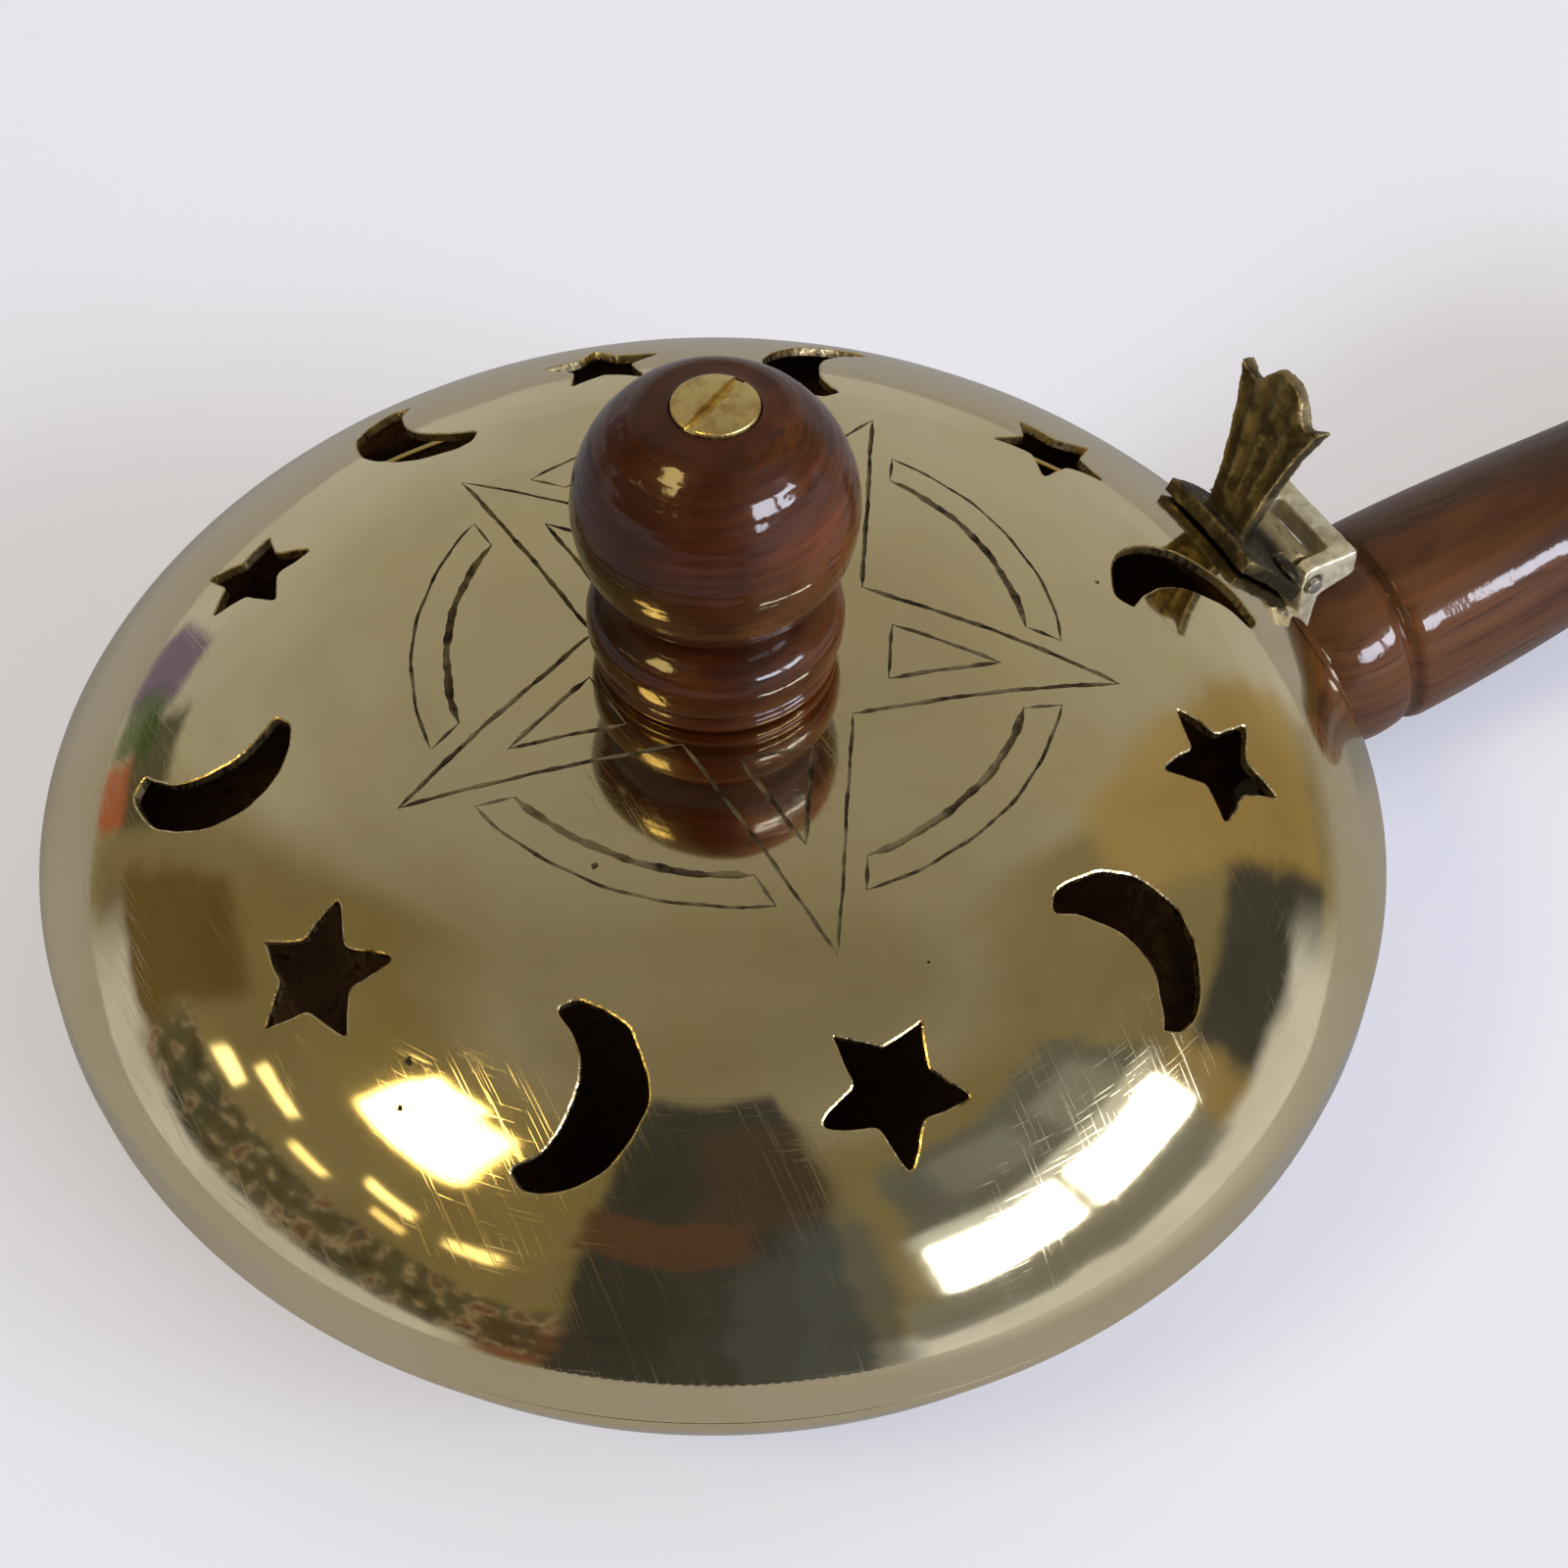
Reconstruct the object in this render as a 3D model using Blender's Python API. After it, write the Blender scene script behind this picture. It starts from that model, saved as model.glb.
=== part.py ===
"""Hand censer: a round brass bowl on a flat underside, a domed lid pierced with stars and moons that
hinges on a cast bracket, a turned wooden knob held by a slotted screw, and a turned wooden side handle."""

import math

import bmesh
import bpy
from mathutils import Matrix, Vector

# Metres, +Z up. The origin is the centre of the bowl's flat underside, and the handle points along +X.
GAP = 0.0003  # between pieces that touch
SLACK = 0.0001  # added to a gap where pieces stack up, or where a plate starts before it is cut back

# Bowl
BOWL_HEIGHT = 0.030
BOWL_RADIUS = 0.0716  # of the wall's outer face, just below the rim
BOWL_FLAT_RADIUS = 0.030
BOWL_WALL = 0.0012
RIM_RADIUS = 0.0739
RIM_DEPTH = 0.002
RIM_CHAMFER = 0.0004

# Lid
LID_RADIUS = 0.0742
LID_WALL = 0.0010
LID_SKIRT = 0.0054
LID_DOME = 0.0250  # rise from the top of the skirt to the centre
LID_SHOULDER = 3.4  # exponents of the dome's superellipse
LID_CROWN = 1.19
LID_BOTTOM = BOWL_HEIGHT + GAP
LID_KNEE = LID_BOTTOM + LID_SKIRT
LID_TOP = LID_KNEE + LID_DOME

# Cut-outs, marked out by hand, so not quite evenly spaced. Azimuths are in degrees from the handle.
STAR_AZIMUTHS = (15.7, 76, 132.4, 194.8, 259.8, 320.8)
STAR_RADII = (0.0073, 0.0073, 0.0069, 0.0078, 0.0079, 0.0075)
STAR_INNER = 0.5
STAR_TURN = -4.5
STAR_PLACE = 0.0540  # distance from the lid's axis
MOON_AZIMUTHS = (45, 99, 160.5, 223.8, 289.3, 345)
MOON_PLACE = 0.0538
MOON_OUTER = (0.0096, 0.0004, 0.0093)  # half chord, offset and rise of the outer arc
MOON_INNER = (0.0080, -0.0013, 0.0043)

# Knob and its screw
SCREW_RADIUS = 0.0020
HEAD_RADIUS = 0.0044
HEAD_SEAT = LID_TOP + 0.0329
HEAD_HEIGHT = 0.0016
HEAD_CROWN = 0.0006
SLOT_WIDTH = 0.0012
SLOT_DEPTH = 0.0009
SLOT_AZIMUTH = 27
BALL_RADIUS = 0.0146
BALL_CENTRE = 0.0207  # above the lid's top
WASHER_RADIUS = 0.0060
WASHER_THICK = 0.0010
NUT_ACROSS = 0.0070
NUT_THICK = 0.0030
SCREW_END = 0.0075  # below the lid's top

# Hinge
HINGE_X = 0.0761
HINGE_Z = LID_BOTTOM + 0.0086
PIN_RADIUS = 0.0010
PIN_PROUD = 0.0006  # past each ear
KNUCKLE_RADIUS = 0.0024
KNUCKLE_HALF = 0.0046
EAR_INNER = KNUCKLE_HALF + GAP
EAR_THICK = 0.0022
EAR_RADIUS = 0.0028
EAR_RELIEF = 0.0042  # radius cut from the lever's foot beside the knuckle, where the ears pass as it opens
BRIDGE_X = (0.0794, 0.0822)
BRIDGE_Z = (HINGE_Z - 0.0010, HINGE_Z + 0.0026)
NECK_X = (0.0746, 0.0768)

# Thumb lever
FOOT_THICK = 0.0019
FOOT_INNER = 0.0640
FOOT_HALF_ANGLE = 7
FAN_BASE = (0.0670, 0.0451)  # x and z of the fan's foot
FAN_LEAN = 16.5
FAN_THICK = 0.0021
RIVET_RADIUS = 0.0011
RIVET_HEAD = 0.0021
RIVET_HEAD_HEIGHT = 0.0010
LEVER_RIVET_PLACE = 0.0705
LEVER_RIVET_AZIMUTH = 5.2

# Handle
HANDLE_START = (0.0758, 0.0147)  # x and z of a point on the handle's axis
HANDLE_TILT = 6.5
HANDLE_FACE = 0.0046  # along the axis from that point
HANDLE_LENGTH = 0.1350
BORE_RADIUS = 0.0033
BORE_DEPTH = 0.0600
TANG_RADIUS = 0.0030
TANG_START = -0.0020
TANG_END = 0.0580
NAIL_PLACE = 0.0125
NAIL_ANGLE = 25  # from the handle's upper side towards -Y
NAIL_RADIUS = 0.0009
NAIL_HEAD = 0.0015
NAIL_HEAD_HEIGHT = 0.0011
NAIL_TIP = -0.0070  # from the handle's axis
NAIL_SEAT = 0.0116

# Plate that carries the bracket on the bowl's wall
STRAP_THICK = 0.0020
STRAP_HALF_ANGLE = 18
STRAP_Z = (0.0060, 0.0265)
BOSS_RADIUS = 0.0095
BOSS_DEPTH = 0.0120  # into the wall, which cuts it back
BRACKET_RIVET_AZIMUTH = 14
BRACKET_RIVET_Z = 0.0155

ROUND_STEPS = 56
BOSS_STEPS = 32
SMALL_STEPS = 24
RIVET_STEPS = 16
CUT_REACH = 0.0040  # of a cutter, to each side of the face it cuts


def polar(radius, angle):
    return radius * math.cos(angle), radius * math.sin(angle)


def arc_points(half_chord, offset, rise, steps):
    """Points from -half_chord to +half_chord on an arc that rises by `rise` above the line y = offset."""
    radius = (half_chord**2 + rise**2) / (2 * rise)
    reach = math.asin(min(1.0, half_chord / radius))
    if rise > half_chord:
        reach = math.pi - reach
    centre = offset + rise - radius
    points = []
    for i in range(steps + 1):
        angle = reach * (2 * i / steps - 1)
        points.append((radius * math.sin(angle), centre + radius * math.cos(angle)))
    return points


def lid_point(t):
    """Radius and height on the lid's outer face: t is 0 at the skirt's top and 1 at the centre."""
    angle = t * math.pi / 2
    radius = LID_RADIUS * math.cos(angle) ** (2 / LID_SHOULDER)
    return radius, LID_KNEE + LID_DOME * math.sin(angle) ** (2 / LID_CROWN)


def lid_height(radius):
    share = (radius / LID_RADIUS) ** LID_SHOULDER
    return LID_KNEE + LID_DOME * (1 - share) ** (1 / LID_CROWN)


def lid_slope(radius):
    """Angle below the horizontal of the lid's outer face."""
    step = 1e-5
    return math.atan2(lid_height(radius - step) - lid_height(radius + step), 2 * step)


def lid_outline(offset, steps=14):
    """Outer face from the centre to the skirt's bottom, moved out by `offset` along its normal."""
    points = []
    for i in range(steps):
        radius, height = lid_point((1 - i / steps) ** 1.25)
        slope = lid_slope(radius) if radius > 0.001 else 0.0
        points.append((max(0.0, radius + offset * math.sin(slope)), height + offset * math.cos(slope)))
    points.append((LID_RADIUS + offset, LID_KNEE - 0.0003))
    points.append((LID_RADIUS + offset, LID_BOTTOM))
    return points


def bowl_outline(offset, steps=8):
    """Outer face of the wall from the flat underside up to the rim, moved out by `offset`."""
    wide = BOWL_RADIUS - BOWL_FLAT_RADIUS + offset
    tall = BOWL_HEIGHT - RIM_DEPTH + offset
    points = []
    for i in range(steps + 1):
        angle = i / steps * math.pi / 2
        points.append(
            (BOWL_FLAT_RADIUS + wide * math.sin(angle), BOWL_HEIGHT - RIM_DEPTH - tall * math.cos(angle))
        )
    return points


def new_object(name, bm, material=None):
    bmesh.ops.recalc_face_normals(bm, faces=bm.faces)
    mesh = bpy.data.meshes.new(name)
    bm.to_mesh(mesh)
    bm.free()
    obj = bpy.data.objects.new(name, mesh)
    bpy.context.scene.collection.objects.link(obj)
    if material:
        mesh.materials.append(material)
    mesh.shade_smooth()
    mesh.set_sharp_from_angle(angle=math.radians(35))
    return obj


def lathe_mesh(profile, steps, start=0.0, end=2 * math.pi):
    """Turns a closed (radius, height) outline about Z, right round or, with caps, between two angles."""
    bm = bmesh.new()
    whole = abs(end - start - 2 * math.pi) < 1e-9
    count = steps if whole else steps + 1
    rings = []
    for radius, height in profile:
        if radius < 1e-7:
            rings.append([bm.verts.new((0, 0, height))] * count)
            continue
        ring = []
        for i in range(count):
            x, y = polar(radius, start + (end - start) * i / steps)
            ring.append(bm.verts.new((x, y, height)))
        rings.append(ring)
    for j, low in enumerate(rings):
        high = rings[(j + 1) % len(rings)]
        for i in range(steps):
            k = (i + 1) % count
            corners = list(dict.fromkeys((low[i], low[k], high[k], high[i])))
            if len(corners) > 2:
                bm.faces.new(corners)
    if not whole:
        bm.faces.new([ring[0] for ring in rings])
        bm.faces.new([ring[-1] for ring in rings])
    return bm


def prism_mesh(outline, low, high):
    """Extrudes a closed (x, y) outline from z = low to z = high."""
    bm = bmesh.new()
    bottom = [bm.verts.new((x, y, low)) for x, y in outline]
    top = [bm.verts.new((x, y, high)) for x, y in outline]
    bm.faces.new(bottom)
    bm.faces.new(top)
    for i in range(len(outline)):
        k = (i + 1) % len(outline)
        bm.faces.new((bottom[i], bottom[k], top[k], top[i]))
    return bm


def side_prism(outline, half_width):
    """Extrudes a closed (x, z) outline from y = -half_width to y = +half_width."""
    bm = prism_mesh(outline, -half_width, half_width)
    bm.transform(Matrix(((1, 0, 0, 0), (0, 0, 1, 0), (0, 1, 0, 0), (0, 0, 0, 1))))
    return bm


def frame_matrix(origin, along):
    """A frame at `origin` whose Z runs along `along`."""
    return Matrix.Translation(Vector(origin)) @ Vector(along).to_track_quat("Z", "Y").to_matrix().to_4x4()


def rod_mesh(origin, along, radius, low, high, steps=SMALL_STEPS):
    bm = lathe_mesh([(0, low), (radius, low), (radius, high), (0, high)], steps)
    bm.transform(frame_matrix(origin, along))
    return bm


def box_mesh(low, high):
    bm = bmesh.new()
    bmesh.ops.create_cube(bm, size=1.0)
    size = Vector(high) - Vector(low)
    middle = (Vector(high) + Vector(low)) / 2
    bm.transform(Matrix.Translation(middle) @ Matrix.Diagonal((*size, 1.0)))
    return bm


def joined(parts):
    """One mesh holding several closed shapes that don't touch."""
    whole = bmesh.new()
    for part in parts:
        scratch = bpy.data.meshes.new("scratch")
        bmesh.ops.recalc_face_normals(part, faces=part.faces)
        part.to_mesh(scratch)
        part.free()
        whole.from_mesh(scratch)
        bpy.data.meshes.remove(scratch)
    return whole


def helper(name, bm):
    obj = new_object(name, bm)
    obj.hide_render = True
    obj.display_type = "WIRE"
    return obj


def boolean(obj, other, operation):
    modifier = obj.modifiers.new(f"{operation.lower()}_{other.name}", "BOOLEAN")
    modifier.operation = operation
    modifier.object = other
    modifier.solver = "EXACT"


def handle_point(distance):
    tilt = math.radians(HANDLE_TILT)
    x, z = HANDLE_START
    return Vector((x + distance * math.cos(tilt), 0, z + distance * math.sin(tilt)))


def handle_direction():
    tilt = math.radians(HANDLE_TILT)
    return Vector((math.cos(tilt), 0, math.sin(tilt)))


def on_lid(azimuth, radius):
    """Frame on the lid's outer face: X runs down the slope, Z is the outward normal."""
    slope = lid_slope(radius)
    turn = Matrix.Rotation(math.radians(azimuth), 4, "Z")
    return turn @ Matrix.Translation((radius, 0, lid_height(radius))) @ Matrix.Rotation(slope, 4, "Y")


def on_bowl(azimuth, height):
    """Frame on the bowl's outer wall: Z is the outward normal."""
    wide = BOWL_RADIUS - BOWL_FLAT_RADIUS
    tall = BOWL_HEIGHT - RIM_DEPTH
    drop = BOWL_HEIGHT - RIM_DEPTH - height
    across = wide * math.sqrt(1 - (drop / tall) ** 2)
    normal = Vector((across / wide**2, 0, -drop / tall**2)).normalized()
    turn = Matrix.Rotation(math.radians(azimuth), 4, "Z")
    return turn @ frame_matrix((BOWL_FLAT_RADIUS + across, 0, height), normal)


def material(name, color, metallic, roughness):
    made = bpy.data.materials.new(name)
    made.use_nodes = True
    shader = made.node_tree.nodes["Principled BSDF"]
    shader.inputs["Base Color"].default_value = (*color, 1.0)
    shader.inputs["Metallic"].default_value = metallic
    shader.inputs["Roughness"].default_value = roughness
    return made


def polished_brass():
    return material("polished_brass", (0.78, 0.62, 0.30), 1.0, 0.12)


def cast_brass():
    return material("cast_brass", (0.30, 0.24, 0.12), 1.0, 0.45)


def varnished_wood():
    return material("varnished_wood", (0.20, 0.065, 0.025), 0.0, 0.2)


def dull_steel():
    return material("dull_steel", (0.35, 0.34, 0.32), 1.0, 0.4)


def star_outline(radius):
    points = []
    for i in range(10):
        share = 1.0 if i % 2 == 0 else STAR_INNER
        points.append(polar(radius * share, math.radians(STAR_TURN + 36 * i)))
    return points


def moon_outline():
    return arc_points(*MOON_OUTER, 10) + arc_points(*MOON_INNER, 6)[::-1]


def rivet_holes(place_on, azimuth, place):
    """A pair of cutters, one at each side of the handle."""
    holes = []
    for side in (-1, 1):
        hole = rod_mesh((0, 0, 0), (0, 0, 1), RIVET_RADIUS + GAP, -CUT_REACH, CUT_REACH, RIVET_STEPS)
        hole.transform(place_on(side * azimuth, place))
        holes.append(hole)
    return holes


def lid_cutters():
    cuts = [(star_outline(r), a, STAR_PLACE) for r, a in zip(STAR_RADII, STAR_AZIMUTHS)]
    cuts += [(moon_outline(), azimuth, MOON_PLACE) for azimuth in MOON_AZIMUTHS]
    shapes = []
    for outline, azimuth, place in cuts:
        shape = prism_mesh(outline, -CUT_REACH, CUT_REACH)
        shape.transform(on_lid(azimuth, place))
        shapes.append(shape)
    shapes += rivet_holes(on_lid, LEVER_RIVET_AZIMUTH, LEVER_RIVET_PLACE)
    return helper("lid_cutters", joined(shapes))


def build_lid(brass):
    hole = SCREW_RADIUS + 2 * GAP
    outer = [(max(r, hole), z) for r, z in lid_outline(0.0)]
    inner = [(max(r, hole), z) for r, z in lid_outline(-LID_WALL)]
    lid = new_object("lid", lathe_mesh(outer + inner[::-1], ROUND_STEPS), brass)
    boolean(lid, lid_cutters(), "DIFFERENCE")
    return lid


def build_bowl(brass):
    rim_inner = BOWL_RADIUS - BOWL_WALL
    outer = [(0, 0)] + bowl_outline(0.0)
    rim = [
        (RIM_RADIUS - RIM_CHAMFER, BOWL_HEIGHT - RIM_DEPTH),
        (RIM_RADIUS, BOWL_HEIGHT - RIM_DEPTH + RIM_CHAMFER),
        (RIM_RADIUS, BOWL_HEIGHT - RIM_CHAMFER),
        (RIM_RADIUS - RIM_CHAMFER, BOWL_HEIGHT),
        (rim_inner, BOWL_HEIGHT),
    ]
    inner = bowl_outline(-BOWL_WALL)[::-1] + [(0, BOWL_WALL)]
    bowl = new_object("bowl", lathe_mesh(outer + rim + inner, ROUND_STEPS), brass)
    holes = rivet_holes(on_bowl, BRACKET_RIVET_AZIMUTH, BRACKET_RIVET_Z)
    boolean(bowl, helper("bowl_cutters", joined(holes)), "DIFFERENCE")
    return bowl


def knob_profile():
    """Foot bead, collar bead, waist and ball, with the screw's bore and the seat for its head."""
    bore = SCREW_RADIUS + GAP
    seat = HEAD_SEAT - LID_TOP - GAP
    recess = HEAD_RADIUS + GAP
    foot = [(0.0122, GAP), (0.0127, 0.0007), (0.0130, 0.0017), (0.0133, 0.0029), (0.0133, 0.0042)]
    collar = [(0.0131, 0.0055), (0.0125, 0.0069), (0.0114, 0.0082), (0.0101, 0.0091)]
    waist = [(0.0094, 0.0097)]
    ball = []
    first = math.asin(0.0096 / BALL_RADIUS)
    last = math.asin(recess / BALL_RADIUS)
    steps = 13
    for i in range(steps + 1):
        angle = math.pi - first + (last - math.pi + first) * i / steps
        x, z = BALL_RADIUS * math.sin(angle), BALL_CENTRE + BALL_RADIUS * math.cos(angle)
        ball.append((x, z))
    top = [(recess, seat), (bore, seat)]
    return [(bore, GAP)] + foot + collar + waist + ball + top


def build_knob(wood):
    profile = [(r, z + LID_TOP) for r, z in knob_profile()]
    return new_object("lid_knob", lathe_mesh(profile, 36), wood)


def screw_profile(head_steps=4):
    rise = HEAD_SEAT + HEAD_HEIGHT - HEAD_CROWN
    dome = []
    for i in range(head_steps + 1):
        angle = i / head_steps * math.pi / 2
        dome.append((HEAD_RADIUS * math.cos(angle), rise + HEAD_CROWN * math.sin(angle)))
    end = LID_TOP - SCREW_END
    shank = [(0, end), (SCREW_RADIUS - 0.0004, end), (SCREW_RADIUS, end + 0.0004)]
    return shank + [(SCREW_RADIUS, HEAD_SEAT), (HEAD_RADIUS, HEAD_SEAT)] + dome


def slot_cutter(name, frame):
    top = HEAD_CROWN + 0.002
    box = box_mesh((-0.01, -SLOT_WIDTH / 2, -SLOT_DEPTH), (0.01, SLOT_WIDTH / 2, top))
    box.transform(frame)
    return helper(name, box)


def build_knob_screw(brass):
    screw = new_object("knob_screw", lathe_mesh(screw_profile(), SMALL_STEPS), brass)
    turn = Matrix.Rotation(math.radians(SLOT_AZIMUTH), 4, "Z")
    frame = Matrix.Translation((0, 0, HEAD_SEAT + HEAD_HEIGHT)) @ turn
    boolean(screw, slot_cutter("slot_cutter", frame), "DIFFERENCE")
    return screw


def build_knob_washer(brass):
    top = LID_TOP - LID_WALL - GAP - SLACK
    low = top - WASHER_THICK
    hole = SCREW_RADIUS + GAP
    profile = [(hole, low), (WASHER_RADIUS, low), (WASHER_RADIUS, top), (hole, top)]
    return new_object("knob_washer", lathe_mesh(profile, SMALL_STEPS), brass)


def build_knob_nut(brass):
    top = LID_TOP - LID_WALL - WASHER_THICK - 2 * GAP - SLACK
    corner = NUT_ACROSS / math.sqrt(3)
    outline = [polar(corner, math.radians(60 * i)) for i in range(6)]
    nut = new_object("knob_nut", prism_mesh(outline, top - NUT_THICK, top), brass)
    hole = rod_mesh((0, 0, 0), (0, 0, 1), SCREW_RADIUS + GAP, top - 0.01, top + 0.01)
    boolean(nut, helper("nut_cutter", hole), "DIFFERENCE")
    return nut


def rivet_mesh(frame, shank_low, shank_high):
    """Two low domed heads on a shank, centred on the frame's Z."""
    steps = 3
    upper = []
    for i in range(steps + 1):
        angle = i / steps * math.pi / 2
        upper.append((RIVET_HEAD * math.cos(angle), RIVET_HEAD_HEIGHT * math.sin(angle)))
    low = [(r, shank_low - z) for r, z in upper][::-1]
    high = [(r, shank_high + z) for r, z in upper]
    profile = low + [(RIVET_RADIUS, shank_low), (RIVET_RADIUS, shank_high)] + high
    bm = lathe_mesh(profile, RIVET_STEPS)
    bm.transform(frame)
    return bm


def build_lever_rivets(brass):
    high = FOOT_THICK + 2 * GAP
    low = -LID_WALL - GAP - SLACK
    for number, side in ((1, 1), (2, -1)):
        frame = on_lid(side * LEVER_RIVET_AZIMUTH, LEVER_RIVET_PLACE)
        new_object(f"lever_rivet_{number}", rivet_mesh(frame, low, high), brass)


def build_bracket_rivets(brass):
    high = STRAP_THICK + 2 * GAP
    low = -BOWL_WALL - GAP - SLACK
    for number, side in ((1, 1), (2, -1)):
        frame = on_bowl(side * BRACKET_RIVET_AZIMUTH, BRACKET_RIVET_Z)
        new_object(f"bracket_rivet_{number}", rivet_mesh(frame, low, high), brass)


def pin_rod(radius, reach, steps=RIVET_STEPS):
    """A rod on the hinge's axis, `reach` long to each side."""
    return rod_mesh((HINGE_X, 0, HINGE_Z), (0, 1, 0), radius, -reach, reach, steps)


def fan_outline():
    """Half of the fan's outline (half width, height), from its foot to the middle of its lobe."""
    side = [(0.0034, -0.0030), (0.0034, 0.0030), (0.0042, 0.0090), (0.0055, 0.0150), (0.0074, 0.0203)]
    notch = [(0.0046, 0.0192)]
    lobe = []
    steps = 5
    for i in range(steps):
        angle = math.radians(10 + 80 * i / steps)
        lobe.append((0.0036 * math.cos(angle), 0.0192 + 0.0034 * math.sin(angle)))
    half = side + notch + lobe
    return half + [(0.0, 0.0226)] + [(-x, y) for x, y in half[::-1]]


def fan_mesh():
    bm = prism_mesh(fan_outline(), -FAN_THICK / 2, FAN_THICK / 2)
    lean = math.radians(FAN_LEAN)
    x_axis = Vector((0, 1, 0))
    y_axis = Vector((math.sin(lean), 0, math.cos(lean)))
    z_axis = x_axis.cross(y_axis)
    frame = Matrix((x_axis, y_axis, z_axis)).transposed().to_4x4()
    bm.transform(Matrix.Translation((FAN_BASE[0], 0, FAN_BASE[1])) @ frame)
    return bm


def foot_mesh():
    """A curved plate that follows the lid's shoulder."""
    low, high = [], []
    steps = 7
    last = LID_RADIUS - 0.0012
    for i in range(steps + 1):
        radius = FOOT_INNER + (last - FOOT_INNER) * i / steps
        slope = lid_slope(radius)
        for side, offset in ((low, SLACK), (high, GAP + FOOT_THICK)):
            side.append((radius + offset * math.sin(slope), lid_height(radius) + offset * math.cos(slope)))
    reach = math.radians(FOOT_HALF_ANGLE)
    return lathe_mesh(low + high[::-1], 8, -reach, reach)


def tongue_mesh():
    """Joins the foot to the knuckle over the lid's knee."""
    x, z = HINGE_X, HINGE_Z
    outline = [
        (x - 0.0064, z + 0.0050),
        (x - 0.0056, z + 0.0016),
        (x - 0.0024, z - 0.0008),
        (x, z - 0.0012),
        (x + 0.0016, z + 0.0012),
        (x - 0.0012, z + 0.0038),
    ]
    return side_prism(outline, KNUCKLE_HALF - 0.0004)


def foot_relief():
    """Rods beside the knuckle that clear the foot from the bracket's ears."""
    rods = []
    for side in (-1, 1):
        start = side * (KNUCKLE_HALF - 2 * SLACK)
        rods.append(rod_mesh((HINGE_X, start, HINGE_Z), (0, side, 0), EAR_RELIEF, 0, 2 * EAR_RELIEF))
    return helper("lever_relief", joined(rods))


def build_thumb_lever(brass):
    lever = new_object("thumb_lever", foot_mesh(), brass)
    boolean(lever, foot_relief(), "DIFFERENCE")
    knuckle = pin_rod(KNUCKLE_RADIUS, KNUCKLE_HALF, SMALL_STEPS)
    for name, bm in (("fan", fan_mesh()), ("tongue", tongue_mesh()), ("knuckle", knuckle)):
        boolean(lever, helper(f"lever_{name}", bm), "UNION")
    top = lid_outline(GAP)
    clearance = lathe_mesh([(0, LID_BOTTOM)] + top[::-1], ROUND_STEPS)
    boolean(lever, helper("lever_clearance", clearance), "DIFFERENCE")
    holes = [pin_rod(PIN_RADIUS + GAP, 2 * EAR_INNER)]
    holes += rivet_holes(on_lid, LEVER_RIVET_AZIMUTH, LEVER_RIVET_PLACE)
    boolean(lever, helper("lever_holes", joined(holes)), "DIFFERENCE")
    return lever


def strap_mesh():
    """A curved plate that follows the bowl's outer wall."""
    low, high = [], []
    steps = 6
    for i in range(steps + 1):
        height = STRAP_Z[0] + (STRAP_Z[1] - STRAP_Z[0]) * i / steps
        frame = on_bowl(0, height)
        for side, offset in ((low, SLACK), (high, GAP + STRAP_THICK)):
            point = frame @ Vector((0, 0, offset))
            side.append((point.x, point.z))
    reach = math.radians(STRAP_HALF_ANGLE)
    return lathe_mesh(low + high[::-1], 12, -reach, reach)


def ear_mesh(side):
    """One cheek of the loop: a plate that runs from the neck past the pin to the bridge."""
    low_z = LID_BOTTOM + 0.0012
    x, z = HINGE_X, HINGE_Z
    outline = [(NECK_X[0], low_z), (NECK_X[1], low_z), (NECK_X[1] + 0.0004, BRIDGE_Z[0] - 0.0014)]
    outline += [(BRIDGE_X[1], BRIDGE_Z[0]), (BRIDGE_X[1], BRIDGE_Z[1])]
    for i in range(5):
        angle = math.radians(70 + 27.5 * i)
        dx, dz = polar(EAR_RADIUS, angle)
        outline.append((max(NECK_X[0], x + dx), z + dz))
    bm = side_prism(outline, EAR_THICK / 2)
    bm.transform(Matrix.Translation((0, side * (EAR_INNER + EAR_THICK / 2), 0)))
    return bm


def build_hinge_bracket(brass):
    bracket = new_object("hinge_bracket", strap_mesh(), brass)
    reach = EAR_INNER + EAR_THICK
    boss = rod_mesh(
        handle_point(0), handle_direction(), BOSS_RADIUS, -BOSS_DEPTH, HANDLE_FACE - GAP, BOSS_STEPS
    )
    low = LID_BOTTOM - 0.009
    high = HINGE_Z - KNUCKLE_RADIUS - 0.0010
    neck = box_mesh((NECK_X[0], -reach, low), (NECK_X[1], reach, high))
    bridge = box_mesh((BRIDGE_X[0], -reach, BRIDGE_Z[0]), (BRIDGE_X[1], reach, BRIDGE_Z[1]))
    shapes = {
        "boss": boss, "neck": neck, "ear_1": ear_mesh(1), "ear_2": ear_mesh(-1), "bridge": bridge
    }
    for name, bm in shapes.items():
        boolean(bracket, helper(f"bracket_{name}", bm), "UNION")
    wall = bowl_outline(GAP)
    rim = RIM_RADIUS + GAP
    above = BOWL_HEIGHT + RIM_DEPTH
    top = [(rim, BOWL_HEIGHT - RIM_DEPTH - GAP), (rim, above), (0, above)]
    clearance = lathe_mesh([(0, wall[0][1])] + wall[:-1] + top, ROUND_STEPS)
    boolean(bracket, helper("bracket_clearance", clearance), "DIFFERENCE")
    tang_hole = rod_mesh(
        handle_point(0), handle_direction(), TANG_RADIUS + GAP, TANG_START - GAP, 2 * BOSS_DEPTH
    )
    holes = [pin_rod(PIN_RADIUS + GAP, 2 * reach), tang_hole]
    holes += rivet_holes(on_bowl, BRACKET_RIVET_AZIMUTH, BRACKET_RIVET_Z)
    boolean(bracket, helper("bracket_holes", joined(holes)), "DIFFERENCE")
    return bracket


def build_hinge_pin(steel):
    return new_object("hinge_pin", pin_rod(PIN_RADIUS, EAR_INNER + EAR_THICK + PIN_PROUD), steel)


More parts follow.
